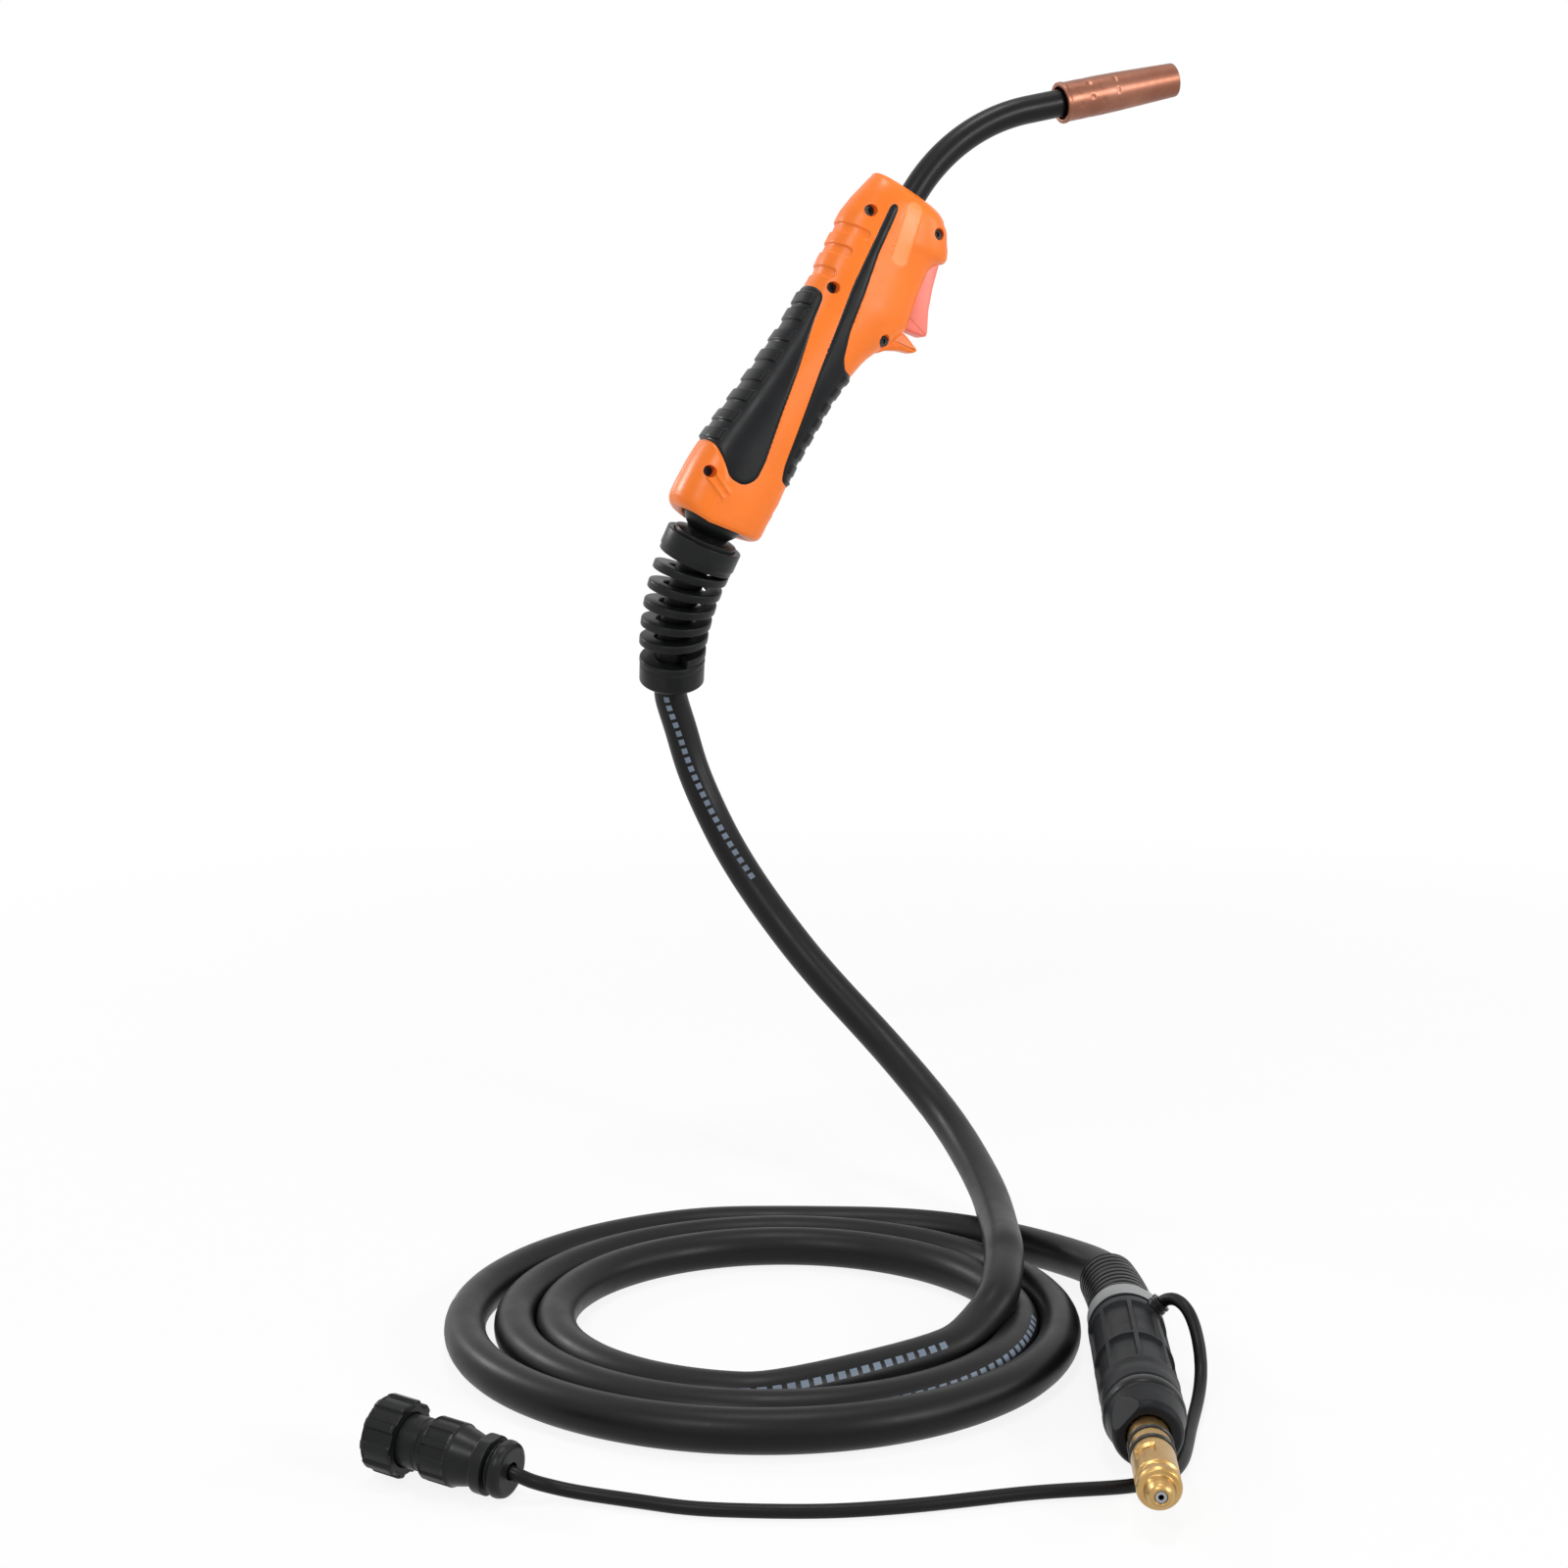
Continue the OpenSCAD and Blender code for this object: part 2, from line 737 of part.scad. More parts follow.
module wire_liner() {
    color("silver") difference() {
        along_neck(liner_r, crimp_bottom + 2, tip_back - 3);
        along_neck(liner_bore_r, crimp_bottom, tip_back);
    }
}

module neck_block() {
    color("darkgoldenrod") in_handle() difference() {
        translate([neck_a, 0, block_bottom]) cylinder(r = block_r, h = block_top - block_bottom);
        translate([neck_a, 0, block_bottom + 3]) cylinder(r = tube_r + fit, h = far);
        translate([neck_a, 0, block_bottom - 1]) cylinder(r = liner_r + fit, h = far);
    }
}

module cable_crimp() {
    color("peru") in_handle() difference() {
        translate([neck_a, 0, crimp_bottom]) cylinder(r = crimp_r, h = block_bottom - crimp_bottom);
        translate([neck_a, 0, crimp_bottom + 1]) cylinder(r = liner_r + fit, h = far);
    }
}

module gas_diffuser() {
    color("goldenrod") at_neck_end(0) difference() {
        translate([0, 0, jacket_front + 0.5])
            cylinder(r = diffuser_r, h = diffuser_front - jacket_front - 0.5);
        translate([0, 0, jacket_front]) cylinder(r = tube_r + fit, h = tube_front + 1 - jacket_front);
        cylinder(r = thread_r + fit, h = far);
        for (turn = [30:60:330])
            rotate([0, 0, turn]) translate([0, 0, gas_hole_s]) rotate([0, 90, 0])
                cylinder(r = gas_hole_r, h = far);
    }
}

module contact_tip() {
    color("peru") at_neck_end(0) difference() {
        union() {
            translate([0, 0, tip_back]) cylinder(r = thread_r, h = diffuser_front - tip_back);
            translate([0, 0, diffuser_front])
                cylinder(r = tip_r, h = tip_front - tip_taper - diffuser_front);
            translate([0, 0, tip_front - tip_taper]) cylinder(r1 = tip_r, r2 = thread_r, h = tip_taper);
        }
        cylinder(r = wire_hole_r, h = 2 * far);
    }
}

module nozzle_insulator() {
    color("linen") at_neck_end(insulator_back)
        ring_solid(bore_r - fit, diffuser_r + fit, insulator_length);
}

module nozzle_spring() {
    color("silver") at_neck_end(insulator_back + insulator_length + 1)
        ring_solid(bore_r - fit, diffuser_r + fit, ring_spring_length);
}

module nozzle() {
    step = bore_front - nozzle_back;
    color("#a5785a") at_neck_end(nozzle_back) rotate_extrude() polygon([
        [bore_r, 0], [nozzle_r + rim_extra, 0], [nozzle_r + rim_extra, rim_length],
        [nozzle_r, rim_length + rim_extra], [nozzle_r, step - 4], [nozzle_tip_r, nozzle_length],
        [mouth_bore_r, nozzle_length], [bore_r, step]
    ]);
}

// ---- Cable support --------------------------------------------------------
module ball_knuckle() {
    color("#1c1c1e") difference() {
        union() {
            at_ball() sphere(r = ball_r);
            below_ball(0) cylinder(r = knuckle_neck_r, h = flange_bottom);
            below_ball(flange_top) cylinder(r = flange_r, h = flange_bottom - flange_top);
        }
        below_ball(-2 * ball_r) cylinder(r = cable_bore_r, h = 4 * ball_r);
        below_ball(-2 * ball_r) cylinder(r = 2 * ball_r, h = 2 * ball_r - ball_flat);
    }
}

module union_nut() {
    color("#1c1c1e") below_ball(nut_top) difference() {
        cylinder(r = nut_r, h = nut_length);
        translate([0, 0, -1]) cylinder(r = cable_bore_r, h = nut_length + 2);
        translate([0, 0, -1]) cylinder(r = flange_r + gap, h = flange_bottom - nut_top + 1);
    }
}

module support_spring() {
    steps = round(spring_turns * 16);
    lift = spring_r_top * sin(bent(spring_top + strand_h / 2 + fit));
    first = spring_top + strand_h / 2 + fit + lift;
    run = spring_length - strand_h - 2 * fit - lift;
    color("#1c1c1e") in_support() skin([for (k = [0:steps])
        strand_ring(first + run * k / steps, -360 * spring_turns * k / steps)]);
}

module support_cap() {
    color("#1c1c1e") below_spring(spring_end)
        ring_solid(cap_r, cable_bore_r, cap_length);
}

// ---- Cable ----------------------------------------------------------------
core_steps = 10;
core_start = -ball_flat - 1;
function turned_y(v, q) = [v[0] * cos(q) + v[2] * sin(q), v[1], v[2] * cos(q) - v[0] * sin(q)];
function turned_z(v, q) = [v[0] * cos(q) - v[1] * sin(q), v[0] * sin(q) + v[1] * cos(q), v[2]];
// A direction of the support's frame, in the handle's frame
function support_to_handle(v) =
    turned_y(turned_z(turned_y(turned_z(v, support_roll), support_lean), support_turn), -handle_lean);

module cable_core() {
    start = [0, 0, ball_s] + support_to_handle([0, 0, -core_start]);
    lead = start + support_to_handle([0, 0, 30]);
    end = [neck_a, 0, crimp_bottom - gap];
    color("#2a2a2c") in_handle() skin(tube_rings(
        [for (k = [0:core_steps]) bezier(start, lead, end - [0, 0, 40], end, k / core_steps)], cable_r));
}

module cable_top() {
    stops = concat([-ball_flat, spring_top], [for (k = [1:6]) spring_top + spring_length * k / 6],
        [support_end]);
    color("#2a2a2c") in_support() skin(tube_rings([for (t = stops) support_point(t)], cable_r));
}

module cable_rise() {
    color("#2a2a2c") skin(tube_rings(eased(rise_route), cable_r));
}

module cable_coil() {
    color("#2a2a2c") translate([coil_centre[0], coil_centre[1], floor_z])
        rotate_extrude() {
            translate([coil_inner_r + cable_r, 0]) square([coil_outer_r - coil_inner_r - cable_d, cable_d]);
            for (r = [coil_inner_r + cable_r, coil_outer_r - cable_r])
                translate([r, cable_r]) circle(r = cable_r);
        }
}

module cable_tail() {
    inside = [for (s = [boot_back, boot_back + 20, body_back + 4])
        pin_root + s * [cos(pin_heading), sin(pin_heading), 0]];
    color("#2a2a2c") skin(tube_rings(concat(eased(concat(tail_route, [inside[0]])),
        [inside[1], inside[2]]), cable_r));
}

// ---- Power connector ------------------------------------------------------
module rear_boot() {
    rib_step = (boot_length - 4) / boot_ribs;
    color("#2a2a2c") in_connector(boot_back) difference() {
        union() {
            cylinder(r = boot_r - boot_rib_depth, h = boot_length + 1);
            for (k = [0:boot_ribs - 1])
                translate([0, 0, k * rib_step]) cylinder(r = boot_r, h = rib_step - boot_rib_gap);
            translate([0, 0, boot_length]) cylinder(r = boot_r, h = band_length + 1);
            cylinder(r = spigot_r, h = boot_length + band_length + 8);
        }
        translate([0, 0, -1]) cylinder(r = cable_bore_r, h = 2 * far);
    }
}

module band_clamp() {
    color("lightgray") in_connector(band_back) {
        ring_solid(band_r, band_bore_r, band_length);
        rotate([0, 0, 130]) translate([band_r - 0.4, -3, 2]) cube([1.6, 6, band_length - 4]);
    }
}

module body_ribs() {
    rib_end = body_length - 8;
    groove = body_length / 2;
    for (turn = [105, 180, 255])
        rotate([0, 0, turn]) difference() {
            translate([body_r - 1, -rib_width / 2, 6]) cube([1 + rib_rise, rib_width, rib_end - 6]);
            translate([body_r - 2, -rib_width, groove]) cube([4, 2 * rib_width, rib_groove]);
        }
}

module connector_body() {
    color("#3c3d40") in_connector(body_back) difference() {
        union() {
            cylinder(r = body_r, h = body_length);
            body_ribs();
        }
        translate([0, 0, -1]) cylinder(r = body_bore_r, h = body_length + 2);
        rotate([0, 0, 180 - gland_angle]) translate([0, 0, gland_s - body_back])
            rotate([0, 90, 0]) cylinder(r = gland_r + fit, h = far);
    }
}

module locking_ring() {
    color("#1c1c1e") in_connector(body_front) ring_solid(ring_r, spigot_r + fit, ring_length);
}

module pin_collar() {
    color("#2c2d30") in_connector() difference() {
        union() {
            translate([0, 0, -collar_length])
                cylinder(r1 = collar_back_r, r2 = collar_front_r, h = collar_length);
            translate([0, 0, body_front - 10]) cylinder(r = spigot_r, h = 10 + ring_length);
        }
        translate([0, 0, body_front - 11]) cylinder(r = shank_r + fit, h = far);
        rotate([0, 0, notch_turn]) translate([collar_front_r - notch_depth, -far / 2, -notch_length])
            cube([far, far, notch_length + 1]);
    }
}

module rear_crimp() {
    color("peru") in_connector(body_back + 4.5)
        cylinder(r = pin_r - 1, h = pin_back - body_back - 4.5);
}

module power_pin() {
    nose_start = pin_length - nose_length;
    color("#b5893c") in_connector() difference() {
        union() {
            translate([0, 0, pin_back]) cylinder(r = shank_r, h = seal_end - pin_back);
            translate([0, 0, seal_end]) cylinder(r = pin_r, h = nose_start - 2 - seal_end);
            cylinder(r = pin_r - waist_depth, h = nose_start);
            translate([0, 0, nose_start - 1]) cylinder(r = pin_r - nose_step, h = 1);
            translate([0, 0, nose_start])
                cylinder(r1 = pin_r - nose_step, r2 = pin_r - nose_step - nose_taper, h = nose_length);
        }
        for (s = o_ring_spots)
            translate([0, 0, s - o_ring_r - fit])
                ring_solid(far, pin_r + o_ring_out - 2 * o_ring_r - fit / 2, 2 * (o_ring_r + fit));
        translate([0, 0, inlet_back]) cylinder(r = inlet_r + inlet_wall + fit, h = 2 * far);
        translate([-2, pin_r - flat_depth, flat_start]) cube([4, far, flat_length]);
    }
}

module o_rings() {
    color("black") in_connector() for (s = o_ring_spots)
        translate([0, 0, s]) rotate_extrude()
            translate([pin_r + o_ring_out - o_ring_r, 0]) circle(r = o_ring_r, $fn = 24);
}

module pin_liner() {
    color("silver") in_connector(inlet_back + 0.5)
        ring_solid(inlet_r + inlet_wall, inlet_r, pin_length - inlet_back - 1);
}

module lead_gland() {
    color("#1c1c1e") in_connector(gland_s) rotate([0, 0, 180 - gland_angle]) rotate([0, 90, 0])
        difference() {
            union() {
                translate([0, 0, body_bore_r]) cylinder(r = gland_r, h = 6);
                for (k = [0:1])
                    translate([0, 0, body_r + gap + k * 2]) cylinder(r = gland_r + 0.8, h = 1.2);
            }
            cylinder(r = lead_r + gap, h = far);
        }
}

// ---- Control lead and plug ------------------------------------------------
module control_lead() {
    color("#2a2a2c") skin(tube_rings(eased(lead_route), lead_r));
}

module coupling_ring() {
    color("#202124") in_plug(coupling_length) difference() {
        union() {
            cylinder(r = coupling_r - 1, h = coupling_length);
            for (k = [0:lobe_count - 1])
                rotate([0, 0, 360 * k / lobe_count]) translate([coupling_r - lobe_r, 0, 0])
                    cylinder(r = lobe_r, h = coupling_length - 2);
        }
        translate([0, 0, -1]) cylinder(r = shell_r + gap, h = far);
        translate([0, 0, 3]) cylinder(r = coupling_r - coupling_wall - 1, h = far);
    }
}

module plug_shell() {
    color("#202124") in_plug(coupling_length + plug_neck) difference() {
        union() {
            cylinder(r = shell_r, h = plug_neck + coupling_length - 2);
            translate([0, 0, plug_neck + 3.5]) cylinder(r = shell_r + 0.9, h = 2);
        }
        translate([0, 0, plug_neck + coupling_length - insert_back])
            cylinder(r = shell_r - shell_wall_front, h = far);
        translate([0, 0, -1]) cylinder(r = shell_bore_r, h = far);
    }
}

module plug_insert() {
    color("#3a3a3c") in_plug(insert_back) difference() {
        cylinder(r = shell_r - shell_wall_front - fit, h = insert_length);
        for (k = [0:contact_count - 1])
            rotate([0, 0, 360 * k / contact_count]) translate([contact_ring_r, 0, -1])
                cylinder(r = contact_r + fit, h = far);
    }
}

module plug_pins() {
    color("gold") in_plug(insert_back) for (k = [0:contact_count - 1])
        rotate([0, 0, 360 * k / contact_count]) translate([contact_ring_r, 0, -insert_length])
            cylinder(r = contact_r, h = contact_length);
}

module plug_backshell() {
    start = coupling_length + plug_neck;
    color("#202124") in_plug(start + backshell_length + plug_cone) difference() {
        union() {
            cylinder(r1 = backshell_r - 3, r2 = backshell_r - grip_rib_rise, h = plug_cone);
            translate([0, 0, plug_cone]) cylinder(r = backshell_r - grip_rib_rise, h = backshell_length);
            for (k = [0.5:grip_rib_count - 0.5])
                rotate([0, 0, 360 * k / grip_rib_count])
                    translate([backshell_r - 2, -grip_rib_w / 2, plug_cone + 0.8])
                    cube([2, grip_rib_w, backshell_length - 1.6]);
        }
        translate([0, 0, -1]) cylinder(r = lead_r + 1, h = far);
        translate([0, 0, 3]) cylinder(r = shell_bore_r, h = far);
    }
}

// Half of the two-disc cable clamp, split along the lead
module clamp_half(side) {
    difference() {
        union() {
            cylinder(r = clamp_r, h = clamp_disc);
            cylinder(r = clamp_waist_r, h = clamp_length);
            translate([0, 0, clamp_length - clamp_disc]) cylinder(r = clamp_r, h = clamp_disc);
        }
        translate([0, 0, -1]) cylinder(r = lead_r + 2 * gap, h = clamp_length + 2);
        translate([-far / 2, side > 0 ? -far : -clamp_split, -1]) cube([far, far + clamp_split, far]);
        for (x = [-clamp_screw_x, clamp_screw_x])
            translate([x, -far / 2, clamp_disc / 2]) rotate([-90, 0, 0])
                cylinder(r = clamp_screw_r + fit, h = far);
    }
}

module lead_clamp() {
    color("#202124") in_plug(plug_end) {
        clamp_half(1);
        clamp_half(-1);
    }
}

module clamp_screws() {
    color("silver") in_plug(plug_end) for (x = [-clamp_screw_x, clamp_screw_x])
        translate([x, -clamp_screw_length / 2, clamp_disc / 2]) rotate([-90, 0, 0])
            cylinder(r = clamp_screw_r, h = clamp_screw_length);
}

handle_shell_left();
handle_shell_right();
rear_grip();
front_grip();
handle_screws();
trigger();
trigger_pin();
switch_body();
switch_plunger();
switch_leads();
neck_jacket();
conductor_tube();
wire_liner();
neck_block();
cable_crimp();
gas_diffuser();
contact_tip();
nozzle_insulator();
nozzle_spring();
nozzle();
ball_knuckle();
union_nut();
support_spring();
support_cap();
cable_core();
cable_top();
cable_rise();
cable_coil();
cable_tail();
rear_boot();
band_clamp();
connector_body();
locking_ring();
pin_collar();
rear_crimp();
power_pin();
o_rings();
pin_liner();
lead_gland();
control_lead();
coupling_ring();
plug_shell();
plug_insert();
plug_pins();
plug_backshell();
lead_clamp();
clamp_screws();
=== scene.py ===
"""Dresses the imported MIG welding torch: smooth shells, rubber pads, metalwork, cables and finishes.

Sizes inside the shape functions are millimetres in each part's own frame. A Place carries points into
the shared frame, and make_piece turns them into metres.
"""

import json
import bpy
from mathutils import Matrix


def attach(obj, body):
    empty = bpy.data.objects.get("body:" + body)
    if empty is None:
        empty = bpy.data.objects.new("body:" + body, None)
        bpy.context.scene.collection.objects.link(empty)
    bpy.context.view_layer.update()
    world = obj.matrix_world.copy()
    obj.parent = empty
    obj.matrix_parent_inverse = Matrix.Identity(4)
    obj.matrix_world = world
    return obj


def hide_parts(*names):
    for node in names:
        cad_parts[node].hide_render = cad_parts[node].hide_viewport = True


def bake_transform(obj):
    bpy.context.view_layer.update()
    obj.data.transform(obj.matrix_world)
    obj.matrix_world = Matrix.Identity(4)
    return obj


bl_info = {
    "name": "Welding torch dresser",
    "version": (1, 0, 0),
    "blender": (4, 5, 0),
    "location": "View3D > Sidebar > Torch",
    "description": "Builds the visible surfaces of a MIG welding torch around its packed frame",
    "category": "Object",
}

import bmesh
import bpy
import numpy as np
from mathutils import Vector

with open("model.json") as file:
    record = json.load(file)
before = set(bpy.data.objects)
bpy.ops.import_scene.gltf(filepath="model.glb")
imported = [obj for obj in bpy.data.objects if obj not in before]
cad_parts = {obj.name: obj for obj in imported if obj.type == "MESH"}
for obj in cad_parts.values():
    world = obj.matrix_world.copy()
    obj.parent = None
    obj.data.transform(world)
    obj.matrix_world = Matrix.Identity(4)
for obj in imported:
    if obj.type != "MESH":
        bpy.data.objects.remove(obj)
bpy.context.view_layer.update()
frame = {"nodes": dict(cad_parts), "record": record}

MM = 0.001
FLOOR = -398.0


# ---- Frames ------------------------------------------------------------------
def turn_about(axis, degrees):
    """Rotation matrix about x, y or z: cosines on the diagonal and sines off it."""
    c, s = np.cos(np.radians(degrees)), np.sin(np.radians(degrees))
    rows = {
        "x": [[1, 0, 0], [0, c, -s], [0, s, c]],
        "y": [[c, 0, s], [0, 1, 0], [-s, 0, c]],
        "z": [[c, -s, 0], [s, c, 0], [0, 0, 1]],
    }
    return np.array(rows[axis])


class Place:
    """A local frame: a point goes to rotation times point plus offset, all in millimetres."""

    def __init__(self, rotation=None, offset=(0, 0, 0)):
        self.rotation = np.eye(3) if rotation is None else rotation
        self.offset = np.array(offset, float)

    def __call__(self, points):
        return np.asarray(points, float) @ self.rotation.T + self.offset

    def then(self, rotation=None, offset=(0, 0, 0)):
        """The frame that sits at an offset and turn inside this one."""
        return Place(self.rotation @ (np.eye(3) if rotation is None else rotation), self(offset))


HANDLE_LEAN = 33
GRIP_TOP = 36
BOTTOM = GRIP_TOP - 115
BALL = BOTTOM + 9.5
NECK_A, BEND_B = 1, 122
NECK_BEND, BEND_R = 44, 100
SPRING_TOP, SPRING_LENGTH, SPRING_BEND = 29.8, 53, 25
CAP_LENGTH = 14.5
SPRING_END = SPRING_TOP + SPRING_LENGTH

IN_HANDLE = Place(turn_about("y", HANDLE_LEAN))
NECK_END = IN_HANDLE.then(turn_about("y", NECK_BEND), (
    NECK_A + BEND_R * (1 - np.cos(np.radians(NECK_BEND))), 0,
    BEND_B + BEND_R * np.sin(np.radians(NECK_BEND))))
IN_SUPPORT = Place(
    turn_about("z", -38) @ turn_about("y", 26) @ turn_about("z", 54), IN_HANDLE((0, 0, BALL)))
PIN_ROOT = np.array((-3.6, -422.3, FLOOR + 15.7))
CONNECTOR = Place(turn_about("z", -112) @ turn_about("y", 90), PIN_ROOT)
PLUG_DIP = 4.521
COUPLING_R, COUPLING_LENGTH = 14, 12.5
PLUG = Place(turn_about("z", 135.5) @ turn_about("y", 90 - PLUG_DIP), (-254.6, -338.8, FLOOR)).then(
    offset=(-COUPLING_R, 0, COUPLING_LENGTH))


# ---- Curves ------------------------------------------------------------------
def flowing(x, knots, values):
    """Cubic Hermite curve through values at knots; a knot's slope is weighed from both its sides."""
    slope = np.gradient(values, knots)
    k = np.clip(np.searchsorted(knots, x) - 1, 0, len(knots) - 2)
    h = knots[k + 1] - knots[k]
    t = np.clip((x - knots[k]) / h, 0, 1)
    return ((2 * t**3 - 3 * t**2 + 1) * values[k] + (t**3 - 2 * t**2 + t) * h * slope[k]
            + (3 * t**2 - 2 * t**3) * values[k + 1] + (t**3 - t**2) * h * slope[k + 1])


def step_up(x, low, high):
    """Smooth step: 0 below low, 1 above high, and 3t squared less 2t cubed between them."""
    t = np.clip((x - low) / (high - low), 0, 1)
    return t * t * (3 - 2 * t)


def step_down(x, low, high):
    """The smooth step turned over: 1 below low and 0 above high."""
    return 1 - step_up(x, low, high)


def from_middle(angle, count, shift=0.0):
    """With a turn cut in count shares, how far an angle is from the middle of its share, 0 to 0.5."""
    return np.abs((angle * count / (2 * np.pi) + shift) % 1 - 0.5)


def distance_along(points):
    """Distance along a line to each of its points: the running sum of the lengths between them."""
    return np.concatenate([[0], np.cumsum(np.linalg.norm(np.diff(points, axis=0), axis=1))])


def softened(points, radius, closed=False, steps=4):
    """Each corner becomes a quadratic arc that leaves and meets its two sides at the radius."""
    p = np.asarray(points, float)
    here = p if closed else p[1:-1]
    before, after = (np.roll(p, 1, 0), np.roll(p, -1, 0)) if closed else (p[:-2], p[2:])

    def cut(end):
        side = end - here
        length = np.maximum(np.linalg.norm(side, axis=1, keepdims=True), 1e-9)
        return here + side / length * np.minimum(radius, 0.45 * length)

    t = np.linspace(0, 1, steps + 1)[None, :, None]
    start, stop = cut(before)[:, None], cut(after)[:, None]
    arcs = ((1 - t)**2 * start + 2 * t * (1 - t) * here[:, None] + t**2 * stop).reshape(-1, p.shape[1])
    return arcs if closed else np.vstack([p[:1], arcs, p[-1:]])


def evenly(points, step, closed=False):
    """The same line with a point at least every step along its length."""
    p = np.asarray(points, float)
    if closed:
        p = np.vstack([p, p[:1]])
    run = distance_along(p)
    marks = np.unique(np.concatenate([run, np.arange(0, run[-1], step)]))
    marks = marks[np.concatenate([[True], np.diff(marks) > step * 0.12])]
    line = np.stack([np.interp(marks, run, p[:, k]) for k in range(p.shape[1])], 1)
    return line[:-1] if closed else line


def spline(points, steps):
    """Uniform cubic B-spline: weights of t for each span of four neighbours, from end point to end."""
    p = np.asarray(points, float)
    p = np.vstack([2 * p[:1] - p[1:2], p, 2 * p[-1:] - p[-2:-1]])
    t = np.linspace(0, 1, steps, endpoint=False)[None, :, None]
    a, b, c, d = (p[k:len(p) - 3 + k, None] for k in range(4))
    line = ((1 - t)**3 * a + (3 * t**3 - 6 * t**2 + 4) * b
            + (-3 * t**3 + 3 * t**2 + 3 * t + 1) * c + t**3 * d) / 6
    return np.vstack([line.reshape(-1, 3), (p[-3] + 4 * p[-2] + p[-1])[None] / 6])


def outline_distance(outline, x, y):
    """Distance to a closed outline, negative inside: least distance to a side, sign by crossings."""
    a = np.asarray(outline, float)
    b = np.roll(a, -1, 0)
    side = b - a
    px, py = x[..., None] - a[:, 0], y[..., None] - a[:, 1]
    t = np.clip((px * side[:, 0] + py * side[:, 1]) / (side**2).sum(1), 0, 1)
    distance = np.hypot(px - t * side[:, 0], py - t * side[:, 1]).min(-1)
    rise = np.where(side[:, 1] == 0, 1e-9, side[:, 1])
    crosses = ((a[:, 1] > y[..., None]) != (b[:, 1] > y[..., None])) & (px < side[:, 0] * py / rise)
    return np.where(crosses.sum(-1) % 2 == 1, -distance, distance)


def bar_distance(start, end, radius, x, y):
    """Distance to a round-ended bar: distance to its middle line less its radius."""
    run = np.subtract(end, start)
    t = np.clip(((x - start[0]) * run[0] + (y - start[1]) * run[1]) / (run @ run), 0, 1)
    return np.hypot(x - start[0] - t * run[0], y - start[1] - t * run[1]) - radius


# ---- Meshes ------------------------------------------------------------------
def quads(rows, columns, close_rows=False, close_columns=False):
    """Four corners for each cell of a grid of points, as point numbers."""
    r = np.arange(rows if close_rows else rows - 1)[:, None]
    c = np.arange(columns if close_columns else columns - 1)[None, :]
    up, over = (r + 1) % rows, (c + 1) % columns
    return np.stack([r * columns + c, r * columns + over, up * columns + over, up * columns + c],
                    -1).reshape(-1, 4)


def add_object(name, data):
    """A new object with this data, in the scene."""
    added = bpy.data.objects.new(name, data)
    bpy.context.scene.collection.objects.link(added)
    return added


def make_piece(name, points, faces, material, body, caps=(), weld=True, sharp=35, tint=None):
    """A mesh from millimetre points in the shared frame, shaded smooth up to the sharp angle."""
    mesh = bpy.data.meshes.new(name)
    mesh.from_pydata((np.asarray(points).reshape(-1, 3) * MM).tolist(), [],
                     np.asarray(faces).tolist() + [list(cap) for cap in caps])
    if tint is not None:
        mask = mesh.attributes.new("tint", "FLOAT", "POINT")
        mask.data.foreach_set("value", np.asarray(tint, np.float32).ravel())
    if weld:
        shell = bmesh.new()
        shell.from_mesh(mesh)
        bmesh.ops.remove_doubles(shell, verts=shell.verts, dist=2e-6)
        bmesh.ops.recalc_face_normals(shell, faces=shell.faces)
        shell.to_mesh(mesh)
        shell.free()
    mesh.shade_smooth()
    mesh.set_sharp_from_angle(angle=np.radians(sharp))
    piece = add_object(name, mesh)
    mesh.materials.append(material)
    if body:
        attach(piece, body)
    return piece


def lathe(profile, place, turns, shape):
    """A profile of (radius, height) turned about z; shape may change radius by angle and height."""
    profile = np.asarray(profile, float)
    angle = np.linspace(0, 2 * np.pi, turns, endpoint=False)
    radius = np.repeat(profile[:, :1], turns, 1)
    height = np.repeat(profile[:, 1:], turns, 1)
    if shape is not None:
        radius, height = shape(radius, height, angle[None, :])
    local = np.stack([radius * np.cos(angle), radius * np.sin(angle), height], -1)
    return place(local)


def turned_piece(name, profile, place, material, body, slot, turns=96, shape=None, step=None,
                 rounding=0.35):
    """A turned part: its closed profile is softened at the corners and carried round the axis."""
    line = softened(profile, rounding, closed=True, steps=3)
    if step:
        line = evenly(line, step, closed=True)
    points = lathe(line, place, turns, shape)
    return make_piece(name, points, quads(len(line), turns, True, True), material, body)


def tube_points(path, radius, upright, sides):
    """A round tube: the two directions across the path come from its travel and an upright field."""
    path = np.asarray(path, float)
    travel = np.gradient(path, axis=0)
    travel /= np.linalg.norm(travel, axis=1, keepdims=True)
    across = np.cross(travel, upright)
    across /= np.linalg.norm(across, axis=1, keepdims=True)
    over = np.cross(across, travel)
    angle = np.linspace(0, 2 * np.pi, sides, endpoint=False)[None, :, None]
    spread = np.reshape(radius, (-1, 1, 1))
    return path[:, None] + spread * (np.cos(angle) * across[:, None] + np.sin(angle) * over[:, None])


def tube_wall(path, radius, bore, upright, sides):
    """A tube's closed wall: rows of its outside along the path, then rows of its bore on the way back."""
    outer = tube_points(path, radius, upright, sides)
    inner = tube_points(path, 0 * radius + bore, upright, sides)
    points = np.concatenate([outer, inner[::-1]])
    return points, quads(len(points), sides, True, True)


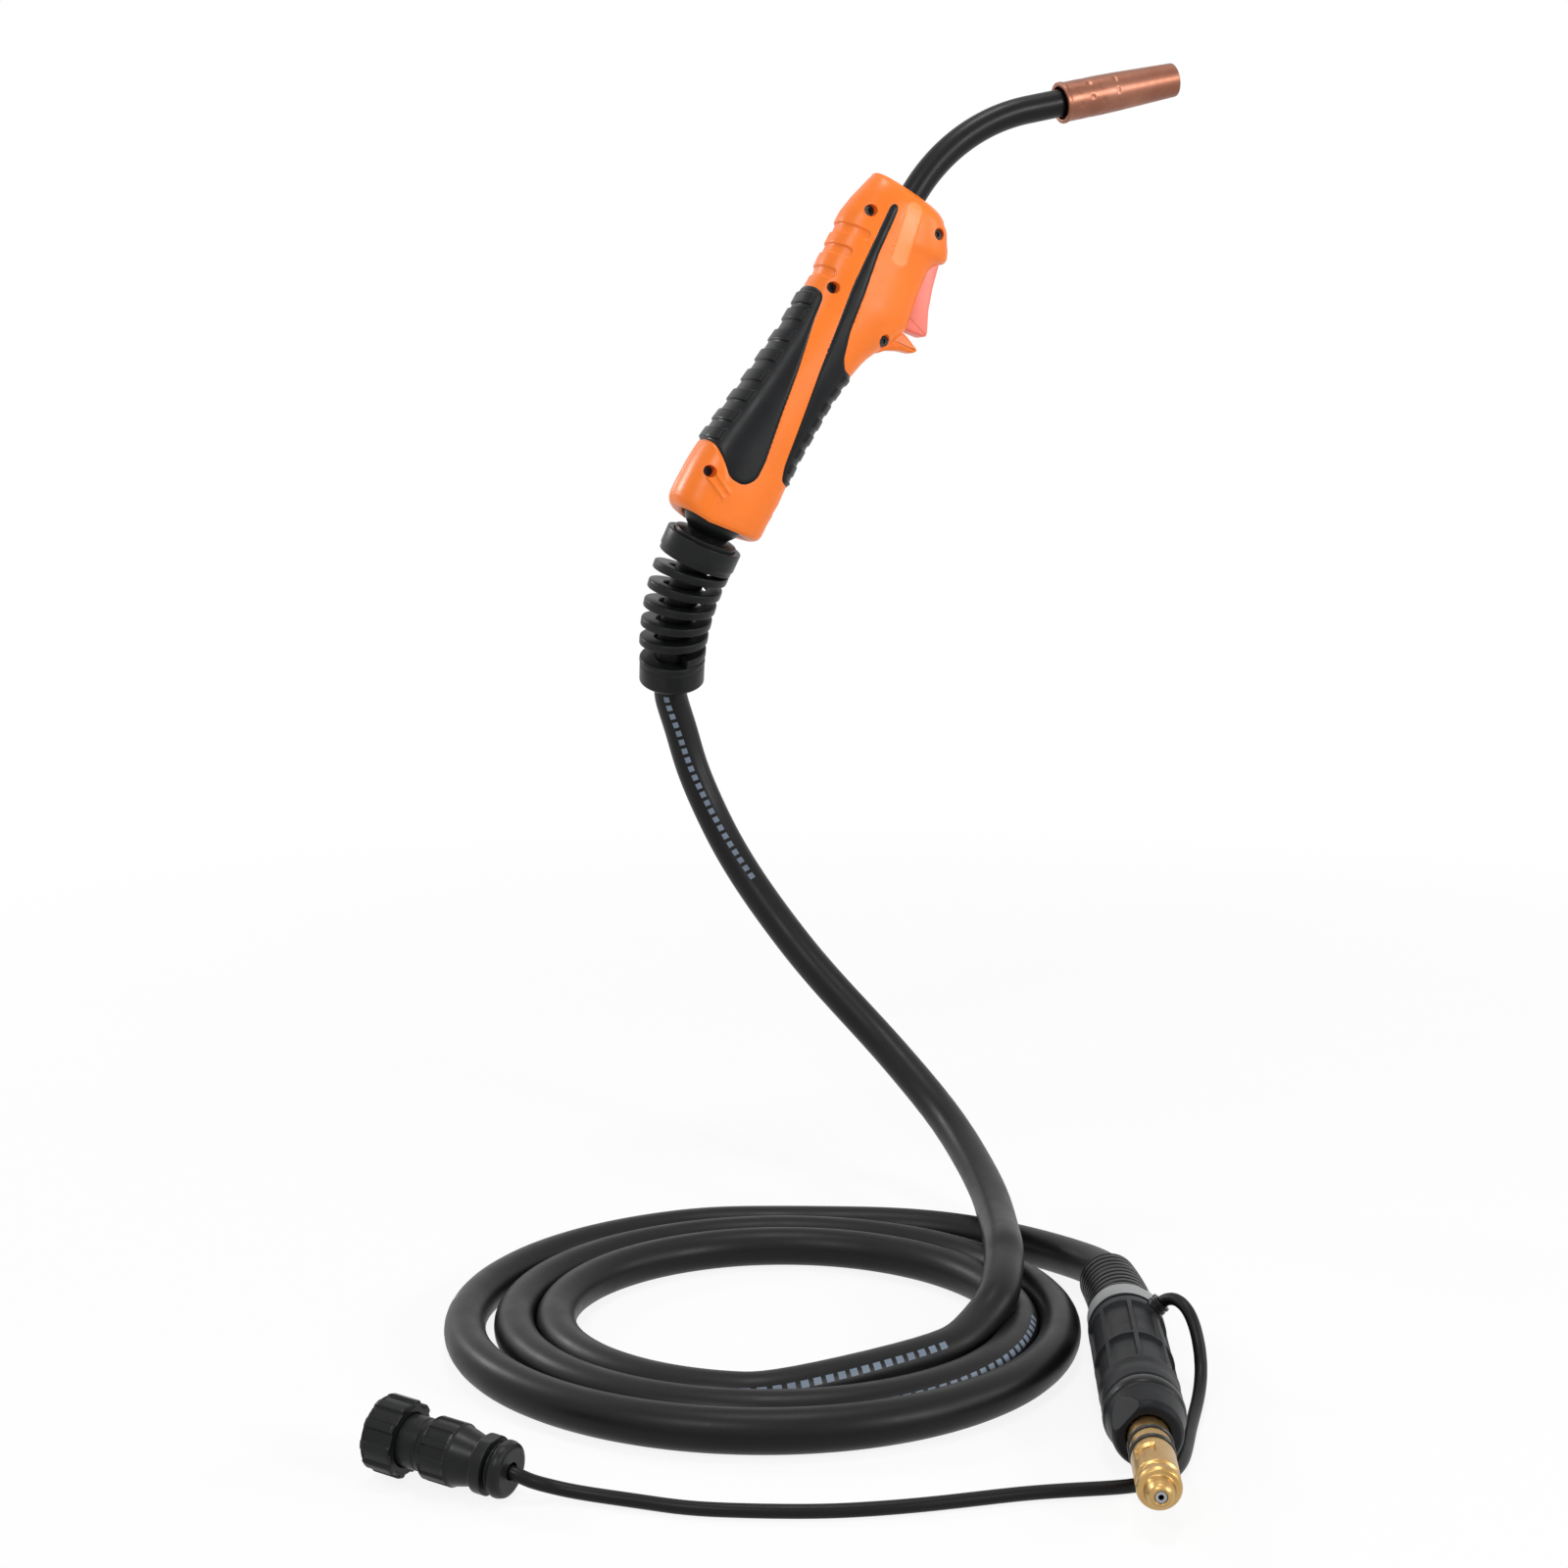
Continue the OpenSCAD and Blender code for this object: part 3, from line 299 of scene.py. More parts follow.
def along_uv(mesh, path, sides):
    """Writes a UV map on a tube's quads: u counts round the tube from 0 to 1, v is metres along it."""
    run = distance_along(path) * MM
    rows = np.repeat(np.arange(len(path) - 1), sides)
    columns = np.tile(np.arange(sides), len(path) - 1)
    u = np.stack([columns, columns + 1, columns + 1, columns], 1) / sides
    v = np.stack([run[rows], run[rows], run[rows + 1], run[rows + 1]], 1)
    flat = np.zeros((len(mesh.loops), 2), np.float32)
    flat[:u.size] = np.stack([u, v], -1).reshape(-1, 2)
    mesh.uv_layers.new(name="along").data.foreach_set("uv", flat.ravel())


# ---- Finishes ----------------------------------------------------------------
def linear(red, green, blue):
    """Linear colour from 0 to 255 display values."""
    c = np.array((red, green, blue)) / 255
    return (*np.where(c > 0.04045, ((c + 0.055) / 1.055)**2.4, c / 12.92), 1.0)


def put(tree, kind, inputs=None, **settings):
    """Adds a node, sets its properties, and links or sets each named input."""
    node = tree.nodes.new(kind)
    for key, value in settings.items():
        setattr(node, key, value)
    for key, value in (inputs or {}).items():
        if isinstance(value, bpy.types.NodeSocket):
            tree.links.new(value, node.inputs[key])
        else:
            node.inputs[key].default_value = value
    return node


def effect(name, inputs, output):
    """An empty shader group with named inputs and one output, and its two end nodes."""
    group = bpy.data.node_groups.new(name, "ShaderNodeTree")
    for label, kind, value in inputs:
        socket = group.interface.new_socket(name=label, in_out="INPUT", socket_type=kind)
        socket.default_value = value
    group.interface.new_socket(name=output[0], in_out="OUTPUT", socket_type=output[1])
    return group, group.nodes.new("NodeGroupInput").outputs, group.nodes.new("NodeGroupOutput").inputs


def noise_at(tree, place, scale, **levels):
    """Noise over a place at a scale, from 0 to 1."""
    return put(tree, "ShaderNodeTexNoise", {"Vector": place, "Scale": scale, **levels}).outputs["Fac"]


def own_place(tree):
    """The place of each point in its own object."""
    return put(tree, "ShaderNodeTexCoord").outputs["Object"]


def grain_effect():
    """Moulded grain: fine noise plus shallow cells, as a height."""
    group, given, out = effect("Moulded grain", [
        ("Scale", "NodeSocketFloat", 1500.0), ("Cells", "NodeSocketFloat", 0.4)],
        ("Height", "NodeSocketFloat"))
    place = own_place(group)
    noise = noise_at(group, place, given["Scale"], Detail=3.0)
    cells = put(group, "ShaderNodeTexVoronoi", {"Vector": place, "Scale": given["Scale"]})
    mix = put(group, "ShaderNodeMix", {"Factor": given["Cells"], 2: noise, 3: cells.outputs["Distance"]})
    group.links.new(mix.outputs[0], out["Height"])
    return group


def drift_effect():
    """Colour drift: one colour fades into another over broad soft noise."""
    group, given, out = effect("Colour drift", [
        ("Scale", "NodeSocketFloat", 40.0), ("Base", "NodeSocketColor", (0.5, 0.5, 0.5, 1)),
        ("Shade", "NodeSocketColor", (0.4, 0.4, 0.4, 1))], ("Color", "NodeSocketColor"))
    spread = put(group, "ShaderNodeMapRange", {
        "Value": noise_at(group, own_place(group), given["Scale"], Detail=4.0),
        "From Min": 0.35, "From Max": 0.65})
    mix = put(group, "ShaderNodeMix", {
        "Factor": spread.outputs["Result"], 6: given["Base"], 7: given["Shade"]}, data_type="RGBA")
    group.links.new(mix.outputs[2], out["Color"])
    return group


def handling_effect():
    """Handling marks: roughness that wanders between two levels."""
    group, given, out = effect("Handling marks", [
        ("Scale", "NodeSocketFloat", 60.0), ("Low", "NodeSocketFloat", 0.3),
        ("High", "NodeSocketFloat", 0.5)], ("Roughness", "NodeSocketFloat"))
    spread = put(group, "ShaderNodeMapRange", {
        "Value": noise_at(group, own_place(group), given["Scale"], Detail=5.0, Roughness=0.6),
        "From Min": 0.3, "From Max": 0.7, "To Min": given["Low"], "To Max": given["High"]})
    group.links.new(spread.outputs["Result"], out["Roughness"])
    return group


def machining_effect():
    """Machining lines: noise squeezed along one axis of the part, as a height."""
    group, given, out = effect("Machining lines", [
        ("Lines", "NodeSocketVector", (200.0, 200.0, 4000.0)),
        ("Turn", "NodeSocketVector", (0.0, 0.0, 0.0))], ("Height", "NodeSocketFloat"))
    turned = put(group, "ShaderNodeVectorRotate", {
        "Vector": own_place(group), "Rotation": given["Turn"]}, rotation_type="EULER_XYZ")
    stretched = put(group, "ShaderNodeVectorMath", {
        0: turned.outputs["Vector"], 1: given["Lines"]}, operation="MULTIPLY")
    group.links.new(noise_at(group, stretched.outputs["Vector"], 1.0, Detail=2.0), out["Height"])
    return group


EFFECTS = {}


def use_effect(tree, name, **values):
    """Places a shared effect in a material's tree with its own values; returns its output."""
    makers = {"Moulded grain": grain_effect, "Colour drift": drift_effect,
              "Handling marks": handling_effect, "Machining lines": machining_effect}
    if name not in EFFECTS:
        EFFECTS[name] = makers[name]()
    node = tree.nodes.new("ShaderNodeGroup")
    node.node_tree = EFFECTS[name]
    for key, value in values.items():
        node.inputs[key].default_value = value
    return node.outputs[0]


def start_finish(name):
    """A new material with a plain Principled shader."""
    material = bpy.data.materials.new(name)
    material.use_nodes = True
    tree = material.node_tree
    tree.nodes.clear()
    shader = tree.nodes.new("ShaderNodeBsdfPrincipled")
    output = tree.nodes.new("ShaderNodeOutputMaterial")
    tree.links.new(shader.outputs["BSDF"], output.inputs["Surface"])
    return material, tree, shader


def worked_finish(name, colours, roughness, marks, drift, height, strength, depth):
    """A finish with drifting colour, handling marks and a bump; height places the bump's effect."""
    material, tree, shader = start_finish(name)
    tree.links.new(use_effect(tree, "Colour drift", Scale=drift, Base=colours[0], Shade=colours[1]),
                   shader.inputs["Base Color"])
    tree.links.new(use_effect(tree, "Handling marks", Scale=marks, Low=roughness[0], High=roughness[1]),
                   shader.inputs["Roughness"])
    bump = put(tree, "ShaderNodeBump", {
        "Strength": strength, "Distance": depth, "Height": height(tree)})
    tree.links.new(bump.outputs["Normal"], shader.inputs["Normal"])
    return material, shader


def moulded_finish(name, colours, roughness, grain=1500.0, depth=0.00002, specular=0.5, drift=45.0,
                   strength=0.5):
    """Moulded plastic or rubber with a fine grain."""
    material, shader = worked_finish(
        name, colours, roughness, 70.0, drift,
        lambda tree: use_effect(tree, "Moulded grain", Scale=grain), strength, depth)
    shader.inputs["Specular IOR Level"].default_value = specular
    return material


def metal_finish(name, colours, roughness, turn=(0.0, 0.0, 0.0), lines=(150.0, 150.0, 3000.0),
                 depth=0.00001, drift=120.0, strength=0.3):
    """Worked metal with machining lines round the part's axis."""
    material, shader = worked_finish(
        name, colours, roughness, 250.0, drift,
        lambda tree: use_effect(tree, "Machining lines", Lines=lines, Turn=turn), strength, depth)
    shader.inputs["Metallic"].default_value = 1.0
    return material


def mixed_over(material, factor, colour):
    """Lays a colour over a finish's own colour by a factor."""
    tree = material.node_tree
    base = tree.nodes["Principled BSDF"].inputs["Base Color"]
    mix = put(tree, "ShaderNodeMix", {"Factor": factor, 6: base.links[0].from_socket, 7: colour},
              data_type="RGBA")
    tree.links.new(mix.outputs[2], base)
    return material


def with_shade(colour, share):
    """A colour of the settings and a darker one, each with full alpha."""
    return (*colour, 1), (*(share * np.array(colour)), 1)


def shell_finish():
    """Orange moulding, paler where the tint attribute marks the thumb pad."""
    colours = bpy.context.scene.torch_colours
    material = moulded_finish("orange_moulding", with_shade(colours.shell, 0.93), (0.3, 0.4),
                              grain=1700.0, strength=0.2, specular=0.3)
    mask = put(material.node_tree, "ShaderNodeAttribute", attribute_name="tint")
    return mixed_over(material, mask.outputs["Fac"], linear(252, 146, 78))


def trigger_finish():
    """Coral moulding."""
    colours = bpy.context.scene.torch_colours
    return moulded_finish("trigger_plastic", with_shade(colours.trigger, 0.9), (0.34, 0.42),
                          grain=2000.0, strength=0.15)


# Printed dashes, in metres along the cable: half a dash with half its gap, half a dash, and the groups
HALF_REPEAT, HALF_DASH = 0.0026, 0.0016
GROUP_START, GROUP_REPEAT, GROUP_LENGTH = 0.085, 0.52, 0.115
# The row's middle and half width as shares of a turn, and how far it winds in a metre
ROW_MIDDLE, ROW_HALF, ROW_WIND = 0.38, 0.027, -0.5


def cable_finish():
    """Black sheath with rows of short pale dashes printed along one side."""
    material = moulded_finish("cable_sheath", (linear(11, 11, 12), linear(16, 16, 17)), (0.36, 0.46),
                              grain=900.0, strength=0.12, specular=0.2, drift=12.0)
    tree = material.node_tree
    axes = put(tree, "ShaderNodeSeparateXYZ", {
        0: put(tree, "ShaderNodeUVMap", uv_map="along").outputs["UV"]})
    round_it, along = axes.outputs[0], axes.outputs[1]

    def calc(operation, a, b, c=0.0):
        return put(tree, "ShaderNodeMath", {0: a, 1: b, 2: c}, operation=operation).outputs[0]

    dash = calc("LESS_THAN", calc("PINGPONG", along, HALF_REPEAT), HALF_DASH)
    within = calc("FLOORED_MODULO", calc("SUBTRACT", along, GROUP_START), GROUP_REPEAT)
    group = calc("LESS_THAN", within, GROUP_LENGTH)
    row = calc("COMPARE", calc("MULTIPLY_ADD", within, ROW_WIND, round_it), ROW_MIDDLE, ROW_HALF)
    ink = calc("MULTIPLY", calc("MULTIPLY", dash, group), row)
    worn = noise_at(tree, own_place(tree), 60.0, Detail=1.0)
    ink = calc("MULTIPLY", ink, calc("MULTIPLY_ADD", worn, 0.6, 0.6))
    return mixed_over(material, ink, linear(120, 132, 148))


# Material slot: material name, base and shade as display values, roughness range, and what differs
MOULDED = {
    "grip_rubber": ("grip_rubber", (15, 16, 18), (22, 23, 25), (0.3, 0.4), dict(
        grain=1400.0, depth=0.00003, strength=0.25, specular=0.18)),
    "black_plastic": ("black_moulding", (15, 16, 17), (22, 23, 24), (0.3, 0.42), dict(
        grain=1800.0, depth=0.00003, strength=0.25, specular=0.2)),
    "neck_lacquer": ("neck_sleeve", (5, 5, 6), (9, 9, 10), (0.34, 0.4), dict(
        grain=60.0, depth=0.0000002, strength=0.005, specular=0.22)),
    "insulator_plastic": ("insulator", (225, 220, 205), (210, 203, 188), (0.5, 0.6), {}),
    "plain_sheath": ("plain_sheath", (11, 11, 12), (16, 16, 17), (0.34, 0.44), dict(
        grain=900.0, strength=0.12, drift=15.0, specular=0.18)),
    "wire_plastic": ("lead_sheath", (170, 40, 35), (150, 32, 28), (0.35, 0.45), {}),
    "grey_band": ("grey_band", (150, 151, 152), (128, 129, 130), (0.42, 0.55), dict(
        grain=1100.0, depth=0.00006)),
    "connector_plastic": ("connector_moulding", (25, 26, 28), (33, 34, 36), (0.38, 0.5), dict(
        depth=0.00004, strength=0.3, specular=0.1)),
    "o_ring_rubber": ("seal_rubber", (20, 20, 20), (26, 26, 26), (0.3, 0.4), {}),
}
FINE_LINES = (120.0, 120.0, 5000.0)
METAL = {
    "brass_parts": ("plain_brass", (205, 165, 95), (185, 140, 75), (0.28, 0.4), {}),
    "copper_parts": ("plain_copper", (205, 130, 95), (180, 105, 75), (0.28, 0.4), {}),
    "nozzle_copper": ("satin_copper", (154, 106, 88), (140, 92, 74), (0.36, 0.43), dict(
        turn=(0.0, -np.radians(HANDLE_LEAN + NECK_BEND), 0.0), lines=FINE_LINES, depth=0.000001,
        strength=0.04, drift=60.0)),
    # The handle's screws also take this dark steel. On them its darkness is painted shade for the deep
    # holes they sit in.
    "blackened_steel": ("blackened_steel", (52, 50, 50), (38, 36, 36), (0.35, 0.45), {}),
    "steel_parts": ("plain_steel", (165, 165, 168), (140, 140, 145), (0.25, 0.38), {}),
    "pin_brass": ("turned_brass", (190, 156, 100), (174, 138, 84), (0.3, 0.37), dict(
        turn=(np.radians(90.0), 0.0, np.radians(22.0)), lines=FINE_LINES, depth=0.000002,
        strength=0.06, drift=90.0)),
    "gold_contacts": ("plated_contacts", (235, 195, 110), (215, 170, 90), (0.18, 0.28), {}),
}
OWN_MAKERS = {
    "orange_shell": shell_finish, "trigger_plastic": trigger_finish, "cable_rubber": cable_finish}
FINISHES = {}


def finish(slot):
    """The material for one of the record's material slots, made when it is first asked for."""
    if slot not in FINISHES:
        if slot in OWN_MAKERS:
            FINISHES[slot] = OWN_MAKERS[slot]()
        else:
            make, table = (moulded_finish, MOULDED) if slot in MOULDED else (metal_finish, METAL)
            name, base, shade, roughness, options = table[slot]
            FINISHES[slot] = make(name, (linear(*base), linear(*shade)), roughness, **options)
    return FINISHES[slot]


# ---- Handle ------------------------------------------------------------------
# In these functions a runs from back to front, y from side to side and b along the handle; s is the
# height at which a row starts, before it slopes with the face, and turn is the angle round the handle.
FACE_SLOPE = 0.21
SQUARENESS = 2.5
GRIP_HALF = 18.6
MOUTH_HALF = 20.5
FAR = 60

# Height along the handle, back edge, front edge and half width
HANDLE_STATIONS = np.array([
    (-79.4, -20, 23.2, 18.8), (-78.4, -21.8, 24.6, 19.9), (-76.5, -23.4, 25.4, 20.4),
    (-73.5, -24.4, 25.4, MOUTH_HALF), (BALL, -24.9, 25, MOUTH_HALF), (-61.5, -25.4, 24.8, MOUTH_HALF),
    (-49, -25.9, 23.3, 20.1), (-36, -25.5, 21.6, 19.7), (-17, -23.8, 20.7, 19.4), (5, -22.1, 20.3, 19),
    (20, -21.5, 22.1, GRIP_HALF), (30, -21, 24.2, GRIP_HALF), (38, -21.2, 28, GRIP_HALF),
    (45, -21.4, 31.6, GRIP_HALF), (52, -21.9, 33.6, GRIP_HALF), (59, -22.1, 32.2, 18.4),
    (67, -23.3, 30.4, 18.2), (78, -24.4, 28.6, 18), (88.5, -25.5, 29, 18), (92.5, -26.2, 33, 18),
    (97, -26.4, 31.9, 17.9), (102, -25.8, 28.7, 17.7), (107, -25.1, 25.6, 17.2), (111, -23.9, 22.6, 16.4),
    (114, -23, 21.2, 14.8), (116.2, -22.2, 19, 12.4), (117.6, -21.2, 17, 9.2), (118.2, -18, 12.6, 6)])

# Outlines on the handle's side, as places across and along it
REAR_PAD = softened([
    (-FAR, 49), (-17.9, 48.8), (-14.4, 46), (-12.5, 33), (-6.7, 7.5), (-1.9, -17), (3.3, -40), (4.2, -50),
    (-0.2, -56.4), (-8.2, -57), (-14.9, -50.8), (-22.6, -45.3), (-FAR, -43.7)], 3.2, closed=True)
FRONT_PAD = softened([
    (-9.6, 105), (-10.2, 101.8), (-5.4, 57.7), (2.8, 12.5), (13.4, -36.3), (16.5, -43), (FAR, -43),
    (FAR, 25), (19, 22), (14.5, 21.7), (10.5, 25.7), (5.7, 38.5), (1.7, 59.9), (-2.7, 79.6),
    (-5.8, 103.5), (-7.4, 105.4)], 2, closed=True)
MOUTH_COLLAR = [(-FAR, -44), (-22.6, -45.6), (-14.5, -51.5), (-8, -58.5), (-5, -FAR * 2),
                (-FAR, -FAR * 2)]
GUARD = [(18, 50), (22.5, 38), (27, 41), (30.5, 45.3), (36.5, 49.3), (43.6, 52.2), (44.8, 54.7),
         (35, 57.6), (29, 57.6)]
GUARD_HALF, TRIGGER_HALF, SLOT_HALF = 5.2, 6, 6.5
SLOT_FLOOR = 19.2
TRIGGER_SLOT = [(SLOT_FLOOR, 103.4), (28, 103.4), (31, 98.6), (FAR, 98.6), (FAR, 58.4), (29, 57.6),
                (25.4, 56.2), (SLOT_FLOOR, 60)]
SCREW_SPOTS = [(-17, 95.8), (-12.8, 52.6), (24.6, 46.4), (-17.8, -59), (19.6, 107)]
SCREW_HOLE_R, SCREW_RIM, SCREW_SEAT = 3.1, 0.45, 9
NEAR_FACE = -6
# Bars with round ends: start, end and radius
THUMB_PAD = ((1.9, 108), (7.6, 84.6), 4.6)
CORNER_BARS = [((-17.1, -62.1), (-6.2, -66.8), 0.7), ((-15.2, -58.3), (-4.6, -63.2), 0.7)]
MOUTH_NOTCH = ((23.8, -57.5), (24.2, -53.5), 0.9)
# Finger grooves come in from the back: their inner end's height and place across, and their rise
FINGER_GROOVES = [(83.5, -10.5), (71.5, -13.5), (58.5, -15)]
GROOVE_R, GROOVE_RISE = 2.9, 0.12
# Heights and depths of the relief
POCKET_DEPTH, GROOVE_DEPTH, THUMB_DEPTH, BAR_HEIGHT = 1.3, 0.95, 0.4, 0.7
COLLAR_HEIGHT, NOTCH_DEPTH, PARTING = 0.5, 1.6, 0.35
# Rubber pads: how deep the edge sinks, where it is cut off, the wall, and the ribs
PAD_SINK, PAD_CUT, PAD_WALL = -1.1, -1.05, 1.2
REAR_RIBS = np.array([46.5, 37, 24.4, 12.4, 0.2, -11.9, -24.2, -35.2])
REAR_RIB_HEIGHT, FRONT_RIB_HEIGHT = 1.1, 0.7
FRONT_RIB_FOOT, FRONT_RIB_PITCH = 15.5, 9


def face_height(a, s):
    """Rows slope with the face, but run nearly level at the top and level behind the mouth."""
    ahead = a * (1 - 0.9 * step_up(s, 106, 120))
    behind = np.minimum(a + 5, 0) * step_down(s, BOTTOM, -48)
    return s + FACE_SLOPE * (ahead - behind)


def handle_section(turn, s):
    """A superellipse from back to front edge, by signed powers of cosine and sine, and its way out."""
    knots = HANDLE_STATIONS[:, 0]
    back, front, half = (flowing(s, knots, HANDLE_STATIONS[:, k]) for k in (1, 2, 3))
    middle, reach = (front + back) / 2, (front - back) / 2
    c, q = np.cos(turn), np.sin(turn)
    power = 2 / SQUARENESS
    u, v = np.sign(c) * np.abs(c)**power, np.sign(q) * np.abs(q)**power
    slope_a, slope_y = np.sign(u) * np.abs(u)**1.5 / reach, np.sign(v) * np.abs(v)**1.5 / half
    length = np.maximum(np.hypot(slope_a, slope_y), 1e-9)
    return middle + reach * u, half * v, slope_a / length, slope_y / length


def moved_out(turn, s, relief):
    """Points of the handle's surface pushed outward by a relief that depends on place."""
    a, y, out_a, out_y = handle_section(turn, s)
    lift = relief(a, y, face_height(a, s))
    a, y = a + lift * out_a, y + lift * out_y
    return np.stack([a, y, face_height(a, s)], -1)


def shell_relief(a, y, b):
    """Outward height of the shell: pad pockets, finger grooves, thumb pad, bars and the parting line."""
    pads = np.minimum(outline_distance(REAR_PAD, a, b), outline_distance(FRONT_PAD, a, b))
    lift = -POCKET_DEPTH * step_down(pads, -1.0, -0.25)
    for top, inner in FINGER_GROOVES:
        outer_end = (-FAR, top - GROOVE_RISE * (inner + FAR))
        groove = bar_distance(outer_end, (inner - GROOVE_R, top), GROOVE_R, a, b)
        lift = lift - GROOVE_DEPTH * step_down(groove, -0.9, 0.0)
    lift = lift - THUMB_DEPTH * step_down(bar_distance(*THUMB_PAD, a, b), -0.5, 0.0)
    for bar in CORNER_BARS:
        lift = lift + BAR_HEIGHT * step_down(bar_distance(*bar, a, b), -0.4, 0.4)
    collar = outline_distance(MOUTH_COLLAR, a, b)
    lift = lift + COLLAR_HEIGHT * step_down(collar, -0.9, 0.3) * step_up(pads, 0.0, 0.8)
    lift = lift - NOTCH_DEPTH * step_down(bar_distance(*MOUTH_NOTCH, a, b), -0.4, 0.3)
    return lift - PARTING * np.exp(-(y / PARTING)**2)


def rear_pad_relief(a, y, b):
    """Height of the rear pad: rises 0.6 inside its outline, sinks at the edge, with rib blocks."""
    edge = outline_distance(REAR_PAD, a, b)
    lift = np.interp(edge, (-2.2, -1.0, 0, 0.9), (0.6, 0.5, 0.0, PAD_SINK))
    s = b - FACE_SLOPE * a
    near = np.abs(s[..., None] - REAR_RIBS).min(-1)
    back = flowing(s, HANDLE_STATIONS[:, 0], HANDLE_STATIONS[:, 1])
    ribs = step_down(near, 2.9, 3.7) * step_down(a - back, 3.8, 5.0) * step_down(edge, -2.4, -1)
    return lift + REAR_RIB_HEIGHT * ribs


def front_pad_relief(a, y, b):
    """Height of the front pad: rises 0.55 inside its outline, with finger ribs on the front edge."""
    edge = outline_distance(FRONT_PAD, a, b)
    lift = np.interp(edge, (-2.0, -0.9, 0, 0.9), (0.55, 0.4, 0.0, PAD_SINK))
    s = b - FACE_SLOPE * a
    front = flowing(s, HANDLE_STATIONS[:, 0], HANDLE_STATIONS[:, 2])
    wave = np.abs((s - FRONT_RIB_FOOT) % FRONT_RIB_PITCH - FRONT_RIB_PITCH / 2)
    ribs = step_up(wave, 1.2, 2.2) * step_down(front - a, 4.8, 6.6) * step_down(edge, -2.4, -1)
    return lift + FRONT_RIB_HEIGHT * ribs * step_down(s, 17, 20)


def mouth_rings(turn):
    """Rows from the lower edge into the mouth: circles of the ball's socket, drawn by angle."""
    radius = np.array([16.6, 15.7, 15.6, 17.5])[:, None]
    height = np.array([BOTTOM + 0.2, BOTTOM + 0.8, BOTTOM + 1.8, BALL - 2])[:, None]
    a, y = radius * np.cos(turn), radius * np.sin(turn)
    return np.stack([a, y, face_height(a, height)], -1)


def shell_half(side):
    """One half of the shell: rows climb the handle, columns go half way round and close inside."""
    columns, rows = 176, 440
    turn = np.linspace(0, np.pi, columns)[None, :] * side
    s = np.linspace(*HANDLE_STATIONS[[0, -1], 0], rows)[:, None]
    points = moved_out(turn, s + 0 * turn, shell_relief)
    a, y, b = points[..., 0], points[..., 1], points[..., 2]
    slot = outline_distance(TRIGGER_SLOT, a, b)
    inside = (np.abs(y) < SLOT_HALF) & (slot < 0.2) & (a > SLOT_FLOOR)
    a[inside] = SLOT_FLOOR
    for spot in SCREW_SPOTS if side < 0 else ():
        away = np.hypot(a - spot[0], b - spot[1])
        rim = (np.abs(away - SCREW_HOLE_R) < SCREW_RIM) & (y < NEAR_FACE)
        pull = np.where(rim, SCREW_HOLE_R / np.maximum(away, 1e-6), 1)
        sunk = (away < SCREW_HOLE_R - SCREW_RIM) & (y < NEAR_FACE)
        a[...] = spot[0] + (a - spot[0]) * pull
        b[...] = spot[1] + (b - spot[1]) * pull
        y[sunk] = -SCREW_SEAT
    centre = points[-1].mean(0)
    narrowing = np.array([0.93, 0.8, 0.5, 0.0])[:, None, None]
    lid = centre + (points[-1] - centre) * narrowing
    lid[..., 2] += np.array([0.3, 0.4, 0.4, 0.4])[:, None]
    points = np.concatenate([mouth_rings(turn)[::-1], points, lid])
    thumb = bar_distance(*THUMB_PAD, points[..., 0], points[..., 2])
    return points, step_down(thumb, -0.5, 0.1)


def build_shells():
    """Both shell halves and the finger guard that grows out of them."""
    for name, side in (("shell_left_skin", 1), ("shell_right_skin", -1)):
        points, tint = shell_half(side)
        piece = make_piece(name, IN_HANDLE(points), quads(*points.shape[:2], close_columns=True),
                           finish("orange_shell"), "torch", tint=tint, sharp=42)
        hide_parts("handle_shell_left" if side > 0 else "handle_shell_right")
    points, faces, caps = rounded_plate(softened(GUARD, 1.6, True), GUARD_HALF, 1.5)
    make_piece("finger_guard_skin", IN_HANDLE(points), faces, finish("orange_shell"), "torch",
               caps=caps, tint=np.zeros(len(points)))


def build_pad(name, node, relief, turns, heights, columns, rows):
    """A rubber pad: the cells whose relief stays above its sunken edge, given a wall inward."""
    turn = np.linspace(*np.radians(turns), columns)[None, :]
    s = np.linspace(*heights, rows)[:, None] + 0 * turn
    points = moved_out(turn, s, relief)
    a, y = handle_section(turn, s)[:2]
    kept = (relief(a, y, face_height(a, s)) > PAD_CUT).ravel()
    faces = quads(rows, columns)
    faces = faces[kept[faces].all(1)]
    used, numbers = np.unique(faces, return_inverse=True)
    piece = make_piece(name, IN_HANDLE(points.reshape(-1, 3)[used]), numbers.reshape(-1, 4),
                       finish("grip_rubber"), "torch", weld=False)
    wall = piece.modifiers.new("wall", "SOLIDIFY")
    wall.thickness = PAD_WALL * MM
    wall.offset = -1
    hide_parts(node)


def rounded_plate(outline, half_width, edge):
    """An outline carried across the handle: inset at both faces by a quarter round of the edge."""
    line = evenly(outline, 0.8, closed=True)
    travel = np.roll(line, -1, 0) - np.roll(line, 1, 0)
    travel /= np.linalg.norm(travel, axis=1, keepdims=True)
    inward = np.stack([-travel[:, 1], travel[:, 0]], 1)
    if (line[:, 0] * np.roll(line[:, 1], -1) - line[:, 1] * np.roll(line[:, 0], -1)).sum() < 0:
        inward = -inward
    quarter = np.radians(np.linspace(0, 90, 6))
    inset = np.concatenate([1 - np.sin(quarter), 1 - np.sin(quarter[::-1])]) * edge
    width = half_width - edge + np.cos(quarter) * edge
    across = np.concatenate([-width, width[::-1]])
    flat = line[None] + inset[:, None, None] * inward[None]
    points = np.stack([flat[..., 0], np.repeat(across[:, None], len(line), 1), flat[..., 1]], -1)
    count = len(line)
    caps = [np.arange(count)[::-1], np.arange(count) + (len(across) - 1) * count]
    return points.reshape(-1, 3), quads(len(across), count, close_columns=True), caps


